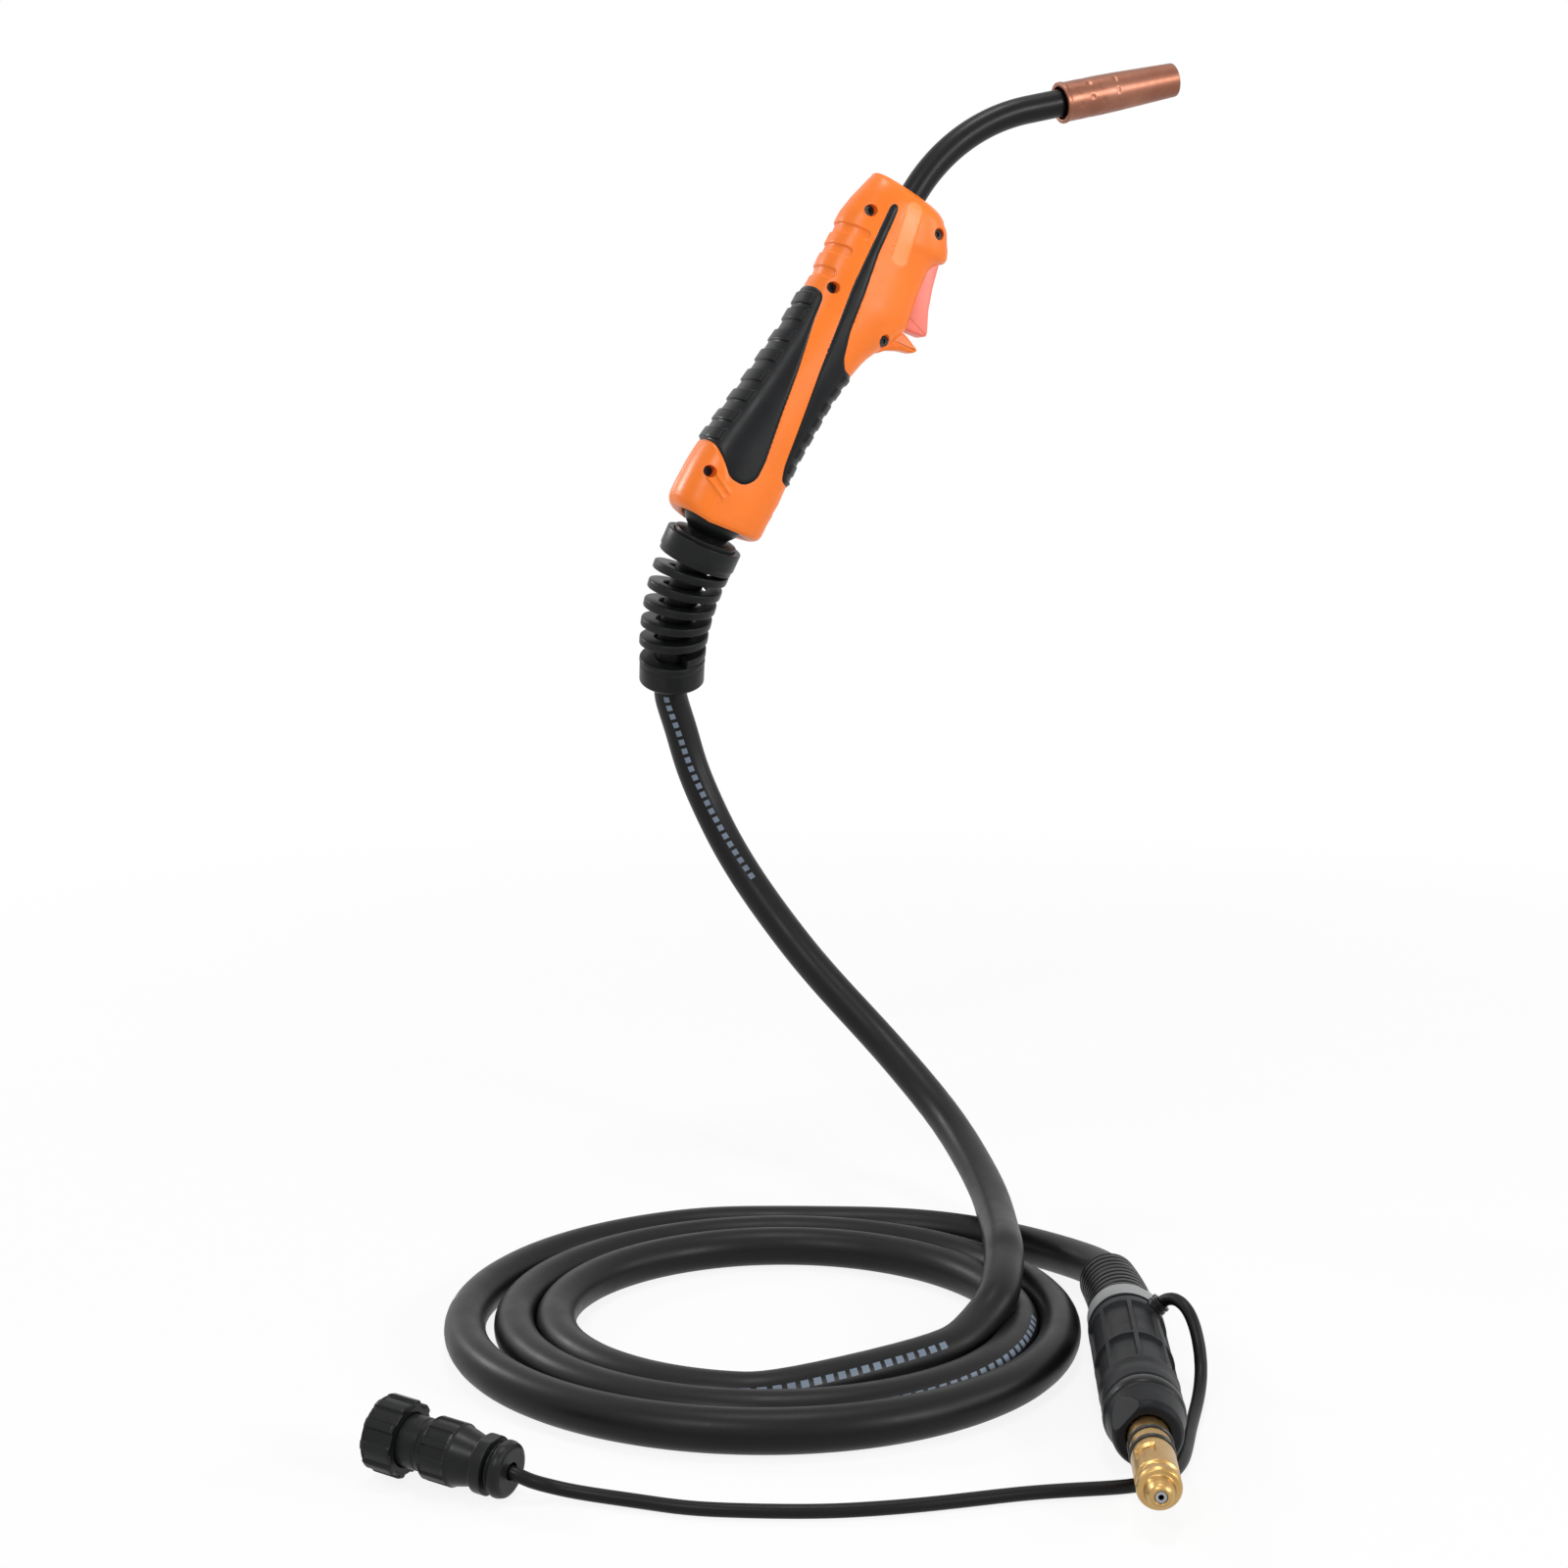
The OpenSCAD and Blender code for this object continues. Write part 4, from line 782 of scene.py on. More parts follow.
TRIGGER_OUTLINE = [
    (21.6, 99.4), (24.4, 101.4), (28.4, 100.2), (30.6, 96.6), (33.9, 85.6), (38.5, 74.2), (44.1, 64.6),
    (44.4, 62.8), (43, 61.8), (32.4, 59.4), (28.4, 59), (26.8, 62), (26, 65.5), (22.4, 65.8),
    (22.4, 70.2), (24.6, 72), (21.6, 86)]


def build_trigger():
    """The trigger: its side outline carried across the slot with rounded edges."""
    points, faces, caps = rounded_plate(softened(TRIGGER_OUTLINE, 1.2, True), TRIGGER_HALF, 1.3)
    piece = make_piece("trigger_skin", IN_HANDLE(points), faces, finish("trigger_plastic"), "trigger",
                       caps=caps)
    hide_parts("trigger")


# ---- Neck and nozzle ---------------------------------------------------------
NECK_R, NECK_BORE, NECK_FOOT = 7.0, 4.4, 104


def build_neck():
    """The neck's sleeve: a closed tube wall along straight, arc and straight, with a rounded end."""
    bend = np.radians(np.linspace(0, NECK_BEND, 60))
    rise = np.linspace(NECK_FOOT, BEND_B, 8, endpoint=False)
    start = np.stack([0 * rise + NECK_A, 0 * rise, rise], 1)
    arc = np.stack([NECK_A + BEND_R * (1 - np.cos(bend)), 0 * bend, BEND_B + BEND_R * np.sin(bend)], 1)
    ahead = np.array([1.0, 4, 8, 12, 16, 20.5, 21.6, 22.0])[:, None]
    end = arc[-1] + ahead * np.array([np.sin(bend[-1]), 0, np.cos(bend[-1])])
    path = np.vstack([start, arc, end])
    radius = np.full(len(path), NECK_R)
    radius[-2:] -= 0.2, 0.7
    points, faces = tube_wall(path, radius, NECK_BORE, np.array([0, 1.0, 0]), 64)
    piece = make_piece("neck_sleeve", IN_HANDLE(points), faces, finish("neck_lacquer"), "torch")
    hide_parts("neck_jacket")


NOZZLE_BACK, NOZZLE_LENGTH = 18.5, 66
NOZZLE_BORE, NOZZLE_R, RIM_R = 8.4, 10, 10.5
# Rows of round dents: height, count and shift; then the ring of slots: height and count
DENT_ROWS = ((8, 8, 0.0), (14.5, 8, 0.4), (21, 8, 0.0))
SLOT_ROW, SLOT_COUNT = 29.5, 10


def stamped(radius, height, angle):
    """Round dents in rows round the rear half and a ring of slots ahead of them, on the outside."""
    outside = radius > NOZZLE_BORE + 0.05
    dent = 0.0
    for row, count, shift in DENT_ROWS:
        near = from_middle(angle, count, shift) * 2 * np.pi / count * NOZZLE_R
        dent = dent + 0.3 * np.exp(-(((height - row) / 1.1)**2 + (near / 1.3)**2)**1.5)
    near = from_middle(angle, SLOT_COUNT) * 2 * np.pi
    dent = dent + 0.35 * np.exp(-(((height - SLOT_ROW) / 0.8)**2 + (near / 1.9)**2)**2)
    return radius - dent * outside, height


def build_nozzle():
    """The gas nozzle: a turned wall with a rolled rear rim, a taper to the mouth and stamped dents."""
    profile = [(NOZZLE_BORE, 0), (RIM_R, 0), (RIM_R, 2), (NOZZLE_R, 2.6), (NOZZLE_R, 22.5), (9.75, 34),
               (8.6, NOZZLE_LENGTH), (7.25, NOZZLE_LENGTH), (NOZZLE_BORE, 26.5)]
    piece = turned_piece("nozzle_skin", profile, NECK_END.then(offset=(0, 0, NOZZLE_BACK)),
                         finish("nozzle_copper"), "nozzle", "nozzle_copper", turns=180, shape=stamped,
                         step=0.55, rounding=0.5)
    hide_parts("nozzle")


# ---- Cable support -----------------------------------------------------------
NUT_TOP, NUT_R, NUT_LENGTH, CAP_R = 17.3, 20, 12.5, 17
FLANGE_TOP, FLANGE_BOTTOM, FLANGE_R = 15.4, 19.3, 16.5
BALL_R, CABLE_BORE = 17.2, 8.8
SUPPORT_RADIUS = SPRING_LENGTH / np.radians(SPRING_BEND)
STRAND_TURNS, STRAND_WIDTH, STRAND_HEIGHT = 5.25, 7.4, 4.4


def support_line(t):
    """Centre line below the ball: straight, an arc of the spring's bend, then straight."""
    t = np.asarray(t, float)
    turn = np.clip((t - SPRING_TOP) / SPRING_LENGTH, 0, 1) * np.radians(SPRING_BEND)
    after = np.maximum(t - SPRING_END, 0)
    aside = SUPPORT_RADIUS * (1 - np.cos(turn)) + after * np.sin(turn)
    down = np.minimum(t, SPRING_TOP) + SUPPORT_RADIUS * np.sin(turn) + after * np.cos(turn)
    return np.stack([aside, 0 * t, -down], -1), turn


def support_piece(name, node, profile, place, rounding=0.5, turns=96):
    """A turned part of the cable support."""
    piece = turned_piece(name, profile, place, finish("black_plastic"), "cable_support", "black_plastic",
                         turns=turns, rounding=rounding)
    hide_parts(node)


def build_support():
    """Ball with its neck and flange, cup nut, flat-wire spring and end cap."""
    arc = np.radians(np.linspace(-46, 49.5, 26))
    ball = BALL_R * np.stack([np.cos(arc), -np.sin(arc)], 1)
    profile = np.vstack([[(CABLE_BORE, ball[0, 1])], ball, [
        (10.4, -FLANGE_TOP), (FLANGE_R, -FLANGE_TOP), (FLANGE_R, -FLANGE_BOTTOM),
        (CABLE_BORE, -FLANGE_BOTTOM)]])
    support_piece("ball_skin", "ball_knuckle", profile, IN_SUPPORT, rounding=0.3)
    nut_bottom, foot_r, well_r = -NUT_TOP - NUT_LENGTH, NUT_R - 0.6, FLANGE_R + 0.3
    nut = [(well_r, -NUT_TOP), (NUT_R, -NUT_TOP), (NUT_R, -NUT_TOP - 9.6), (foot_r, -NUT_TOP - 10),
           (foot_r, nut_bottom), (CABLE_BORE, nut_bottom), (CABLE_BORE, -FLANGE_BOTTOM),
           (well_r, -FLANGE_BOTTOM)]
    support_piece("nut_skin", "union_nut", nut, IN_SUPPORT, turns=144)
    build_spring()
    cap_place = IN_SUPPORT.then(turn_about("y", -SPRING_BEND), support_line(SPRING_END)[0])
    cap = [(CABLE_BORE, 0), (CAP_R - 0.4, 0), (CAP_R, -0.8), (CAP_R, -2.6), (CAP_R - 0.7, -3.1),
           (CAP_R - 0.2, -4), (CAP_R - 0.2, -CAP_LENGTH + 1.2), (CAP_R - 1.4, -CAP_LENGTH),
           (CABLE_BORE, -CAP_LENGTH)]
    support_piece("cap_skin", "support_cap", cap, cap_place)


def build_spring():
    """The strand: a rounded rectangle carried down a helix that narrows toward the cap."""
    share = np.linspace(0, 1, int(STRAND_TURNS * 56))
    t = SPRING_TOP + STRAND_HEIGHT / 2 + 0.1 + (SPRING_LENGTH - STRAND_HEIGHT - 0.2) * share
    centre, bent = support_line(t)
    angle = -2 * np.pi * STRAND_TURNS * share
    out = np.stack([np.cos(bent), 0 * bent, np.sin(bent)], -1)
    along = np.stack([np.sin(bent), 0 * bent, -np.cos(bent)], -1)
    spoke = np.cos(angle)[:, None] * out + np.sin(angle)[:, None] * np.array([0, 1.0, 0])
    outer = NUT_R - 0.6 + (CAP_R + 0.8 - NUT_R) * share
    section = np.array([(0, -0.5), (0, 0.5), (-1, 0.5), (-1, -0.5)]) * (STRAND_WIDTH, STRAND_HEIGHT)
    corners = softened(section, 0.9, True)
    points = (centre[:, None] + (outer[:, None] + corners[:, 0])[..., None] * spoke[:, None]
              + corners[:, 1][None, :, None] * along[:, None])
    first, last = (end.mean(1, keepdims=True) + 0 * end for end in (points[:1], points[-1:]))
    points = np.concatenate([first, points, last])
    piece = make_piece("spring_strand", IN_SUPPORT(points), quads(*points.shape[:2], close_columns=True),
                       finish("black_plastic"), "cable_support")
    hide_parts("support_spring")


# ---- Cables ------------------------------------------------------------------
RISE_ROUTE = [(-54.37, 31.1, -148), (-55, 34.7, -154.5), (-48, 37, -172), (-43, 37, -192),
              (-35, 33, -213), (-27, 25, -233), (-17, 14, -253), (-6, 0, -272), (5, -16, -290),
              (17, -36, -307), (30, -55, -324), (39, -79, -339), (46, -105, -353), (45, -139, -363),
              (38, -182, -370), (27, -215, -372), (15, -249, -369), (12, -256, -373), (3, -275, -374),
              (-5, -289, -377), (-12, -293, -382), (-25, -304, -386), (-39, -313, -388)]
# The coil on the floor: its oval, and where in its turns it swells outward
COIL_CENTRE, COIL_LEAN = (-87, -248), -18
COIL_TURNS, COIL_R, COIL_PITCH, COIL_OVAL = 2.5, 83.85, 17, 4
SWELL, SWELL_AT, SWELL_REACH = 3.5, 2.22, 0.16
# Heights of the middle of the cable and of the lead where they lie on the floor
CABLE_REST, LEAD_REST = FLOOR + 8.5, FLOOR + 2.5
TAIL_ROUTE = [(-24, -139, CABLE_REST), (-3, -147, CABLE_REST), (17, -158, CABLE_REST),
              (35, -174, CABLE_REST), (50, -194, CABLE_REST), (58, -222, -387), (61, -248, -384),
              (59, -264, -382.8)]
LEAD_ROUTE = [(45.3, -331, -371.2), (48.4, -332.4, -367.8), (51, -337, -366), (52.5, -345, -368),
              (53, -352, -376), (51, -360, -387), (42, -374, -393.5), (27, -395, LEAD_REST),
              (13.8, -417.4, LEAD_REST), (0.8, -429.4, LEAD_REST), (-14, -432, LEAD_REST),
              (-31, -428.4, LEAD_REST), (-51, -425, LEAD_REST), (-69, -424, LEAD_REST),
              (-87, -423, LEAD_REST), (-104, -421, LEAD_REST), (-121, -418, LEAD_REST),
              (-137, -413, LEAD_REST), (-153, -407, LEAD_REST), (-169, -400, LEAD_REST),
              (-183, -389.5, -395.4), (-195, -381.5, -395.2), (-204.5, -376, -394.4), (-211, -373, -393),
              (-217, -372.4, -390.8), (-221.4, -371.2, -388.4), (-225, -367.8, -387.3),
              (-229.3, -363.6, -386.9)]
BOOT_BACK, BAND_BACK, BODY_BACK = -164, -118, -107


def coil_points():
    """Turns on a leaning oval: the radius grows by its pitch each turn and swells on the last one."""
    share = np.arange(0.0, COIL_TURNS, 1 / 36)
    angle = np.radians(-90 - 360 * share)
    radius = COIL_R + COIL_PITCH * share + SWELL * np.exp(-((share - SWELL_AT) / SWELL_REACH)**2)
    flat = np.stack([(radius + COIL_OVAL) * np.cos(angle), radius * np.sin(angle), 0 * radius], 1)
    return flat @ turn_about("z", COIL_LEAN).T + (*COIL_CENTRE, CABLE_REST)


def connector_spot(s):
    """Points on the connector's axis by distance; behind the band they swing aside as a square."""
    aside = -3.4 * np.clip((BAND_BACK - s) / (BAND_BACK - BOOT_BACK), 0, 1.2)**2
    return CONNECTOR(np.stack([0 * s, aside, s], 1))


def cable_path():
    """The torch cable's centre line, from inside the support to inside the connector's body."""
    held = IN_SUPPORT(support_line(np.arange(16, SPRING_END + CAP_LENGTH - 6, 12.0))[0])
    inside = connector_spot(np.arange(BOOT_BACK - 4, BODY_BACK + 8, 13.0))
    return spline(np.vstack([held, RISE_ROUTE, coil_points(), TAIL_ROUTE, inside]), 5)


def closed_tube(name, path, radius, upright, material, body, sides):
    """A cable: a tube whose two ends are closed by flat caps, with a UV map along it."""
    points = tube_points(path, radius, upright, sides)
    count = len(path) * sides
    caps = [np.arange(sides), np.arange(count - sides, count)[::-1]]
    piece = make_piece(name, points, quads(len(path), sides, close_columns=True), material, body,
                       caps=caps, weld=False, sharp=60)
    along_uv(piece.data, path, sides)
    return piece


def as_cord(piece, path):
    """A cable's piece, its line in metres and its length in metres."""
    return piece, path * MM, distance_along(path)[-1] * MM


def build_torch_cable():
    """The torch cable, from the handle's ball joint down, round the floor and into the connector."""
    sizes = bpy.context.scene.torch_sizes
    path = cable_path()
    low = step_up(-path[:, 2], 330, 375)[:, None]
    upright = (1 - low) * np.array([-1.0, -0.25, 0]) + low * np.array([0, 0, 1.0])
    piece = closed_tube("torch_cable", path, sizes.cable_thickness / 2 / MM, upright,
                        finish("cable_rubber"), None, 28)
    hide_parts("cable_top", "cable_rise", "cable_coil", "cable_tail")
    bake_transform(piece)
    return as_cord(piece, path)


def build_control_lead():
    """The thin control lead, from its gland on the connector to the plug's clamp."""
    sizes = bpy.context.scene.torch_sizes
    path = spline(LEAD_ROUTE, 8)
    low = step_up(-path[:, 2], 368, 392)[:, None]
    upright = (1 - low) * np.array([0.6, -0.8, 0.3]) + low * np.array([0, 0, 1.0])
    piece = closed_tube("control_lead_sheath", path, sizes.lead_thickness / 2 / MM, upright,
                        finish("plain_sheath"), "torch", 16)
    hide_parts("control_lead")
    return as_cord(piece, path)


# ---- Power connector ---------------------------------------------------------
def on_connector(name, node, profile, slot, **options):
    """A turned part on the connector's axis."""
    piece = turned_piece(name, profile, CONNECTOR, finish(slot), "torch", slot, **options)
    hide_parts(node)


BOOT_FOOT, BOOT_PITCH = -163.2, 4.6


def build_boot():
    """Boot: rings round the cable's bent line, whose radius grows toward the connector."""
    rows = evenly([(0, BOOT_BACK), (0, BODY_BACK - 0.4)], 0.45)[:, 1]
    ring = (rows - BOOT_FOOT) / BOOT_PITCH
    crest = 12.4 + 0.13 * ring
    groove = step_up(np.abs(ring % 1 - 0.5), 0.3, 0.42) * (rows > BOOT_FOOT - 0.2)
    radius = np.where(rows < BAND_BACK - 0.4, crest - 1.7 * groove, 13.2)
    points, faces = tube_wall(connector_spot(rows), radius, CABLE_BORE, np.array([0, 0, 1.0]), 96)
    piece = make_piece("boot_skin", points, faces, finish("plain_sheath"), "torch")
    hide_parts("rear_boot")


def band_shape(radius, height, angle):
    """The band's edges wave a little and one stretch overlaps, like a strap's end."""
    outer = radius > 14
    tab = step_up(np.cos(angle - 2.25), 0.955, 0.975)
    edge = (height > -110) * (0.8 * np.sin(3 * angle + 0.6) - 0.4 * np.cos(5 * angle)) * 0.5
    return radius + outer * (0.55 * tab + 0.12 * np.sin(2 * angle)), height - outer * np.abs(edge)


PANELS = 8


def panelled(radius, height, angle):
    """Panels between ribs: the side sinks except on eight ribs, a belt and both ends, with a waist."""
    outside = step_up(radius, 14.2, 14.8)
    rib = step_down(from_middle(angle, PANELS, 0.5) * 2 * np.pi / PANELS * 15, 0.9, 1.3)
    belt = step_down(np.abs(height + 64), 0.9, 1.3)
    ends = np.maximum(step_up(height, -42, -39.5), step_down(height, -99, -97))
    keep = np.maximum(np.maximum(rib, belt), ends)
    waist = 0.5 * np.exp(-((height + 34) / 4)**2)
    return radius - outside * (1.45 * (1 - keep) + waist), height


def notched(radius, height, angle):
    """A slanted flat cut on one side of the collar, deeper toward the front."""
    toward = np.cos(angle - np.radians(-130))
    limit = 9.8 - 0.4 * height
    cut = np.maximum(0, radius * toward - limit) * (toward > 0)
    lowered = np.maximum(radius - cut / np.maximum(toward, 0.3), 8.9)
    return np.where(radius > 9.2, lowered, radius), height


def pin_shape(radius, height, angle):
    """A milled pocket on the pin's side and a shallower one opposite."""
    outer = radius > 7
    side = np.cos(angle - np.radians(-150))
    pocket = step_up(side, 0.86, 0.9) * step_up(height, 22.5, 23) * step_down(height, 30, 30.5)
    far_side = step_up(-side, 0.9, 0.93) * step_up(height, 24.5, 25) * step_down(height, 29, 29.5)
    return radius - outer * (1.1 * pocket + 0.8 * far_side), height


def build_connector():
    """Boot, band, panelled body, locking ring and notched collar on one axis."""
    build_boot()
    band = [(13.4, -119), (15, -119), (15, -108), (13.4, -108)]
    on_connector("band_skin", "band_clamp", band, "grey_band", turns=180, shape=band_shape, step=1.5)
    body = [(12.4, -107), (15.4, -107), (15.4, -106.1), (13.7, -105.8), (13.7, -104.6), (15.4, -104.2),
            (15.4, -99), (15.4, -60), (15.4, -33), (15.0, -23), (12.4, -23)]
    on_connector("body_skin", "connector_body", body, "connector_plastic", turns=240, shape=panelled,
                 step=0.45, rounding=1.0)
    ring = [(12.3, -22.8), (14.2, -22.8), (15.2, -21.2), (15.4, -19), (15.2, -16.8), (14.2, -15.2),
            (12.3, -15.2)]
    on_connector("ring_skin", "locking_ring", ring, "black_plastic", rounding=0.8)
    collar = [(8, -33), (12.2, -33), (12.2, -15), (14.6, -15), (14.1, -12), (12.9, -2.2), (11.6, 0),
              (8, 0)]
    on_connector("collar_skin", "pin_collar", collar, "connector_plastic", turns=144, shape=notched,
                 step=0.6, rounding=0.8)


PIN_R, SHANK_R, PIN_BORE = 7.95, 7.55, 2.2
SEAL_SPOTS = (8.5, 16.5)


def build_pin():
    """The brass pin: seal grooves, a milled middle, a groove, a shoulder and a domed nose."""
    groove = [corner for spot in SEAL_SPOTS for corner in (
        (SHANK_R, spot - 1), (6.4, spot - 1), (6.4, spot + 1), (SHANK_R, spot + 1))]
    nose = [(SHANK_R, 19.4), (PIN_R, 20), (PIN_R, 37.6), (6.9, 38.2), (6.9, 40), (7.9, 40.8),
            (PIN_R, 43.2), (7.2, 44.6), (5.6, 45), (5.3, 46), (4.9, 48), (4.2, 50), (3.2, 51),
            (PIN_BORE, 50.7), (PIN_BORE, 2)]
    profile = [(0, 2), (0, -43), (7.5, -43)] + groove + nose
    line = evenly(softened(profile, 0.3, steps=3), 0.8)
    points = lathe(line, CONNECTOR, 144, pin_shape)
    piece = make_piece("pin_skin", points, quads(len(line), 144, close_rows=True, close_columns=True),
                       finish("pin_brass"), "torch")
    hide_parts("power_pin")


# ---- Control plug ------------------------------------------------------------
def lobed(radius, height, angle):
    """Ten grip lobes round the coupling ring, shallower at its front edge."""
    wave = step_up(from_middle(angle, 10), 0.16, 0.24)
    outside = step_up(radius, 12, 12.6) * (1 - 0.6 * step_up(height, -1.6, -0.6))
    return radius - outside * 1.05 * wave, height


def broad_ribbed(radius, height, angle):
    """Ten broad ribs round the backshell's wide front part."""
    wave = step_up(from_middle(angle, 10), 0.17, 0.23)
    belt = step_up(radius, 10.5, 10.9) * step_up(height, -33.9, -33.4) * step_down(height, -23.6, -23.1)
    return radius - belt * 0.75 * wave, height


def clamp_shape(radius, height, angle):
    """The clamp's discs: round with two flats, and a waist between them."""
    flat = np.abs(np.cos(angle))
    return np.minimum(radius, 9.9 / np.maximum(flat, 0.3)), height


def on_plug(name, node, profile, body="torch", **options):
    """A turned part on the plug's axis, heights measured back from the front as negatives."""
    piece = turned_piece(name, profile, PLUG, finish("black_plastic"), body, "black_plastic", **options)
    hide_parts(node)


def build_plug():
    """Coupling ring, shell, backshell with its cone, and the two-disc cable clamp."""
    ring = [(9.8, -12.5), (13.6, -12.5), (14, -11.8), (14, -1.4), (13.4, 0), (10.8, 0), (10.8, -9.5),
            (9.8, -9.5)]
    on_plug("coupling_skin", "coupling_ring", ring, body="coupling_ring", turns=240, shape=lobed,
            step=0.8, rounding=0.4)
    shell = [(6.5, -22.5), (9.5, -22.5), (9.5, -20.6), (9.1, -20.2), (9.1, -19.4), (9.5, -19), (9.5, -9),
             (10.4, -9), (10.4, -7), (9.5, -7), (9.5, -2), (8.1, -2), (8.1, -10.5), (6.5, -10.5)]
    on_plug("plug_shell_skin", "plug_shell", shell, rounding=0.3)
    back = [(3.5, -43.5), (8.4, -43.5), (8.6, -43), (10.8, -34.5), (11.4, -34), (11.4, -23.2),
            (10.6, -22.5), (3.5, -22.5)]
    on_plug("backshell_skin", "plug_backshell", back, turns=240, shape=broad_ribbed, step=0.7,
            rounding=0.4)
    clamp = [(3.1, -55.5), (8.2, -55.5), (9.6, -54.8), (10.2, -53), (10.2, -51.6), (8, -50.6), (8, -48.9),
             (10.6, -48.3), (10.6, -44), (10.2, -43.5), (3.1, -43.5)]
    on_plug("clamp_skin", "lead_clamp", clamp, turns=144, shape=clamp_shape, step=0.8)


# ---- Settings ----------------------------------------------------------------
class TorchSizes(bpy.types.PropertyGroup):
    """Sizes that a user may change."""
    cable_thickness: bpy.props.FloatProperty(
        name="Cable thickness", description="Outer diameter of the torch cable", default=0.017,
        min=0.01, max=0.03, unit="LENGTH")
    lead_thickness: bpy.props.FloatProperty(
        name="Lead thickness", description="Outer diameter of the control lead", default=0.005,
        min=0.003, max=0.008, unit="LENGTH")


class TorchColours(bpy.types.PropertyGroup):
    """Colours that a user may change."""
    shell: bpy.props.FloatVectorProperty(
        name="Shell", description="Colour of the handle's shell", default=(0.93, 0.2, 0.018),
        subtype="COLOR", min=0, max=1)
    trigger: bpy.props.FloatVectorProperty(
        name="Trigger", description="Colour of the trigger", default=(0.93, 0.2, 0.14),
        subtype="COLOR", min=0, max=1)


# ---- Operators ---------------------------------------------------------------
CAMERA_PLACE, CAMERA_LOOK = (-0.37508, -1.14474, -0.04338), (0.30644, 0.94314, -0.1288)
LENS, SENSOR = 54, 36


def facing(direction):
    """The turn that makes a camera or lamp look along a direction, its top up."""
    return Vector(direction).to_track_quat("-Z", "Y").to_euler()


class TORCH_OT_camera(bpy.types.Operator):
    """Adds the camera that looks at the torch from its front left."""
    bl_idname = "torch.camera"
    bl_label = "Camera"

    def execute(self, context):
        data = bpy.data.cameras.new("torch_camera")
        data.lens = LENS
        data.sensor_width = SENSOR
        data.clip_end = 20
        camera = add_object("torch_camera", data)
        camera.location = CAMERA_PLACE
        camera.rotation_euler = facing(CAMERA_LOOK)
        context.scene.camera = camera
        return {"FINISHED"}


class TORCH_OT_cables(bpy.types.Operator):
    """Builds the torch cable and the control lead along their routes."""
    bl_idname = "torch.cables"
    bl_label = "Cables"

    def execute(self, context):
        build_torch_cable()
        build_control_lead()
        return {"FINISHED"}


class TORCH_OT_handle(bpy.types.Operator):
    """Builds both halves of the shell and the finger guard."""
    bl_idname = "torch.handle"
    bl_label = "Handle shell"

    def execute(self, context):
        build_shells()
        return {"FINISHED"}


class TORCH_OT_pads(bpy.types.Operator):
    """Builds the rear and front rubber pads."""
    bl_idname = "torch.pads"
    bl_label = "Rubber pads"

    def execute(self, context):
        build_pad("rear_pad", "rear_grip", rear_pad_relief, (56, 304), (-62, 56), 210, 280)
        build_pad("front_pad", "front_grip", front_pad_relief, (-122, 122), (-52, 110), 230, 330)
        return {"FINISHED"}


class TORCH_OT_trigger(bpy.types.Operator):
    """Builds the trigger."""
    bl_idname = "torch.trigger"
    bl_label = "Trigger"

    def execute(self, context):
        build_trigger()
        return {"FINISHED"}


class TORCH_OT_neck(bpy.types.Operator):
    """Builds the bent sleeve of the neck."""
    bl_idname = "torch.neck"
    bl_label = "Neck"

    def execute(self, context):
        build_neck()
        return {"FINISHED"}


class TORCH_OT_nozzle(bpy.types.Operator):
    """Builds the gas nozzle."""
    bl_idname = "torch.nozzle"
    bl_label = "Gas nozzle"

    def execute(self, context):
        build_nozzle()
        return {"FINISHED"}


class TORCH_OT_support(bpy.types.Operator):
    """Builds the ball joint, nut, spring and cap that support the cable."""
    bl_idname = "torch.support"
    bl_label = "Cable support"

    def execute(self, context):
        build_support()
        return {"FINISHED"}


class TORCH_OT_connector(bpy.types.Operator):
    """Builds the boot, band, body, ring, collar and pin of the power connector."""
    bl_idname = "torch.connector"
    bl_label = "Power connector"

    def execute(self, context):
        build_connector()
        build_pin()
        return {"FINISHED"}


class TORCH_OT_plug(bpy.types.Operator):
    """Builds the control plug."""
    bl_idname = "torch.plug"
    bl_label = "Control plug"

    def execute(self, context):
        build_plug()
        return {"FINISHED"}


class TORCH_OT_finishes(bpy.types.Operator):
    """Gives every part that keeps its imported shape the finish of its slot."""
    bl_idname = "torch.finishes"
    bl_label = "Finishes"

    def execute(self, context):
        slots = {row["node"]: row["material_slot"] for row in frame["record"]["subparts"]}
        for name, node in frame["nodes"].items():
            slot = {"cable_rubber": "plain_sheath"}.get(slots[name], slots[name])
            # The handle's screws get the dark steel as painted shade, which darkens them to the shade of
            # the deep holes they sit in.
            slot = "blackened_steel" if name == "handle_screws" else slot
            for material_slot in node.material_slots:
                material_slot.material = finish(slot)
        return {"FINISHED"}


CONNECTOR_PIECES = ["boot_skin", "band_skin", "body_skin", "ring_skin", "collar_skin", "pin_skin"]
PLUG_PIECES = ["coupling_skin", "plug_shell_skin", "backshell_skin", "clamp_skin"]


class TORCH_OT_declare_cords(bpy.types.Operator):
    bl_idname = "torch.declare_cords"
    bl_label = "Declare cords"

    def execute(self, context):
        nodes = frame["nodes"]
        ends = [bpy.data.objects[name] for name in CONNECTOR_PIECES]
        ends += [nodes[name] for name in ("rear_crimp", "o_rings", "pin_liner", "lead_gland")]
        ends = [bpy.data.objects[name] for name in PLUG_PIECES]
        ends += [nodes[name] for name in ("plug_insert", "plug_pins", "clamp_screws")]
        return {"FINISHED"}


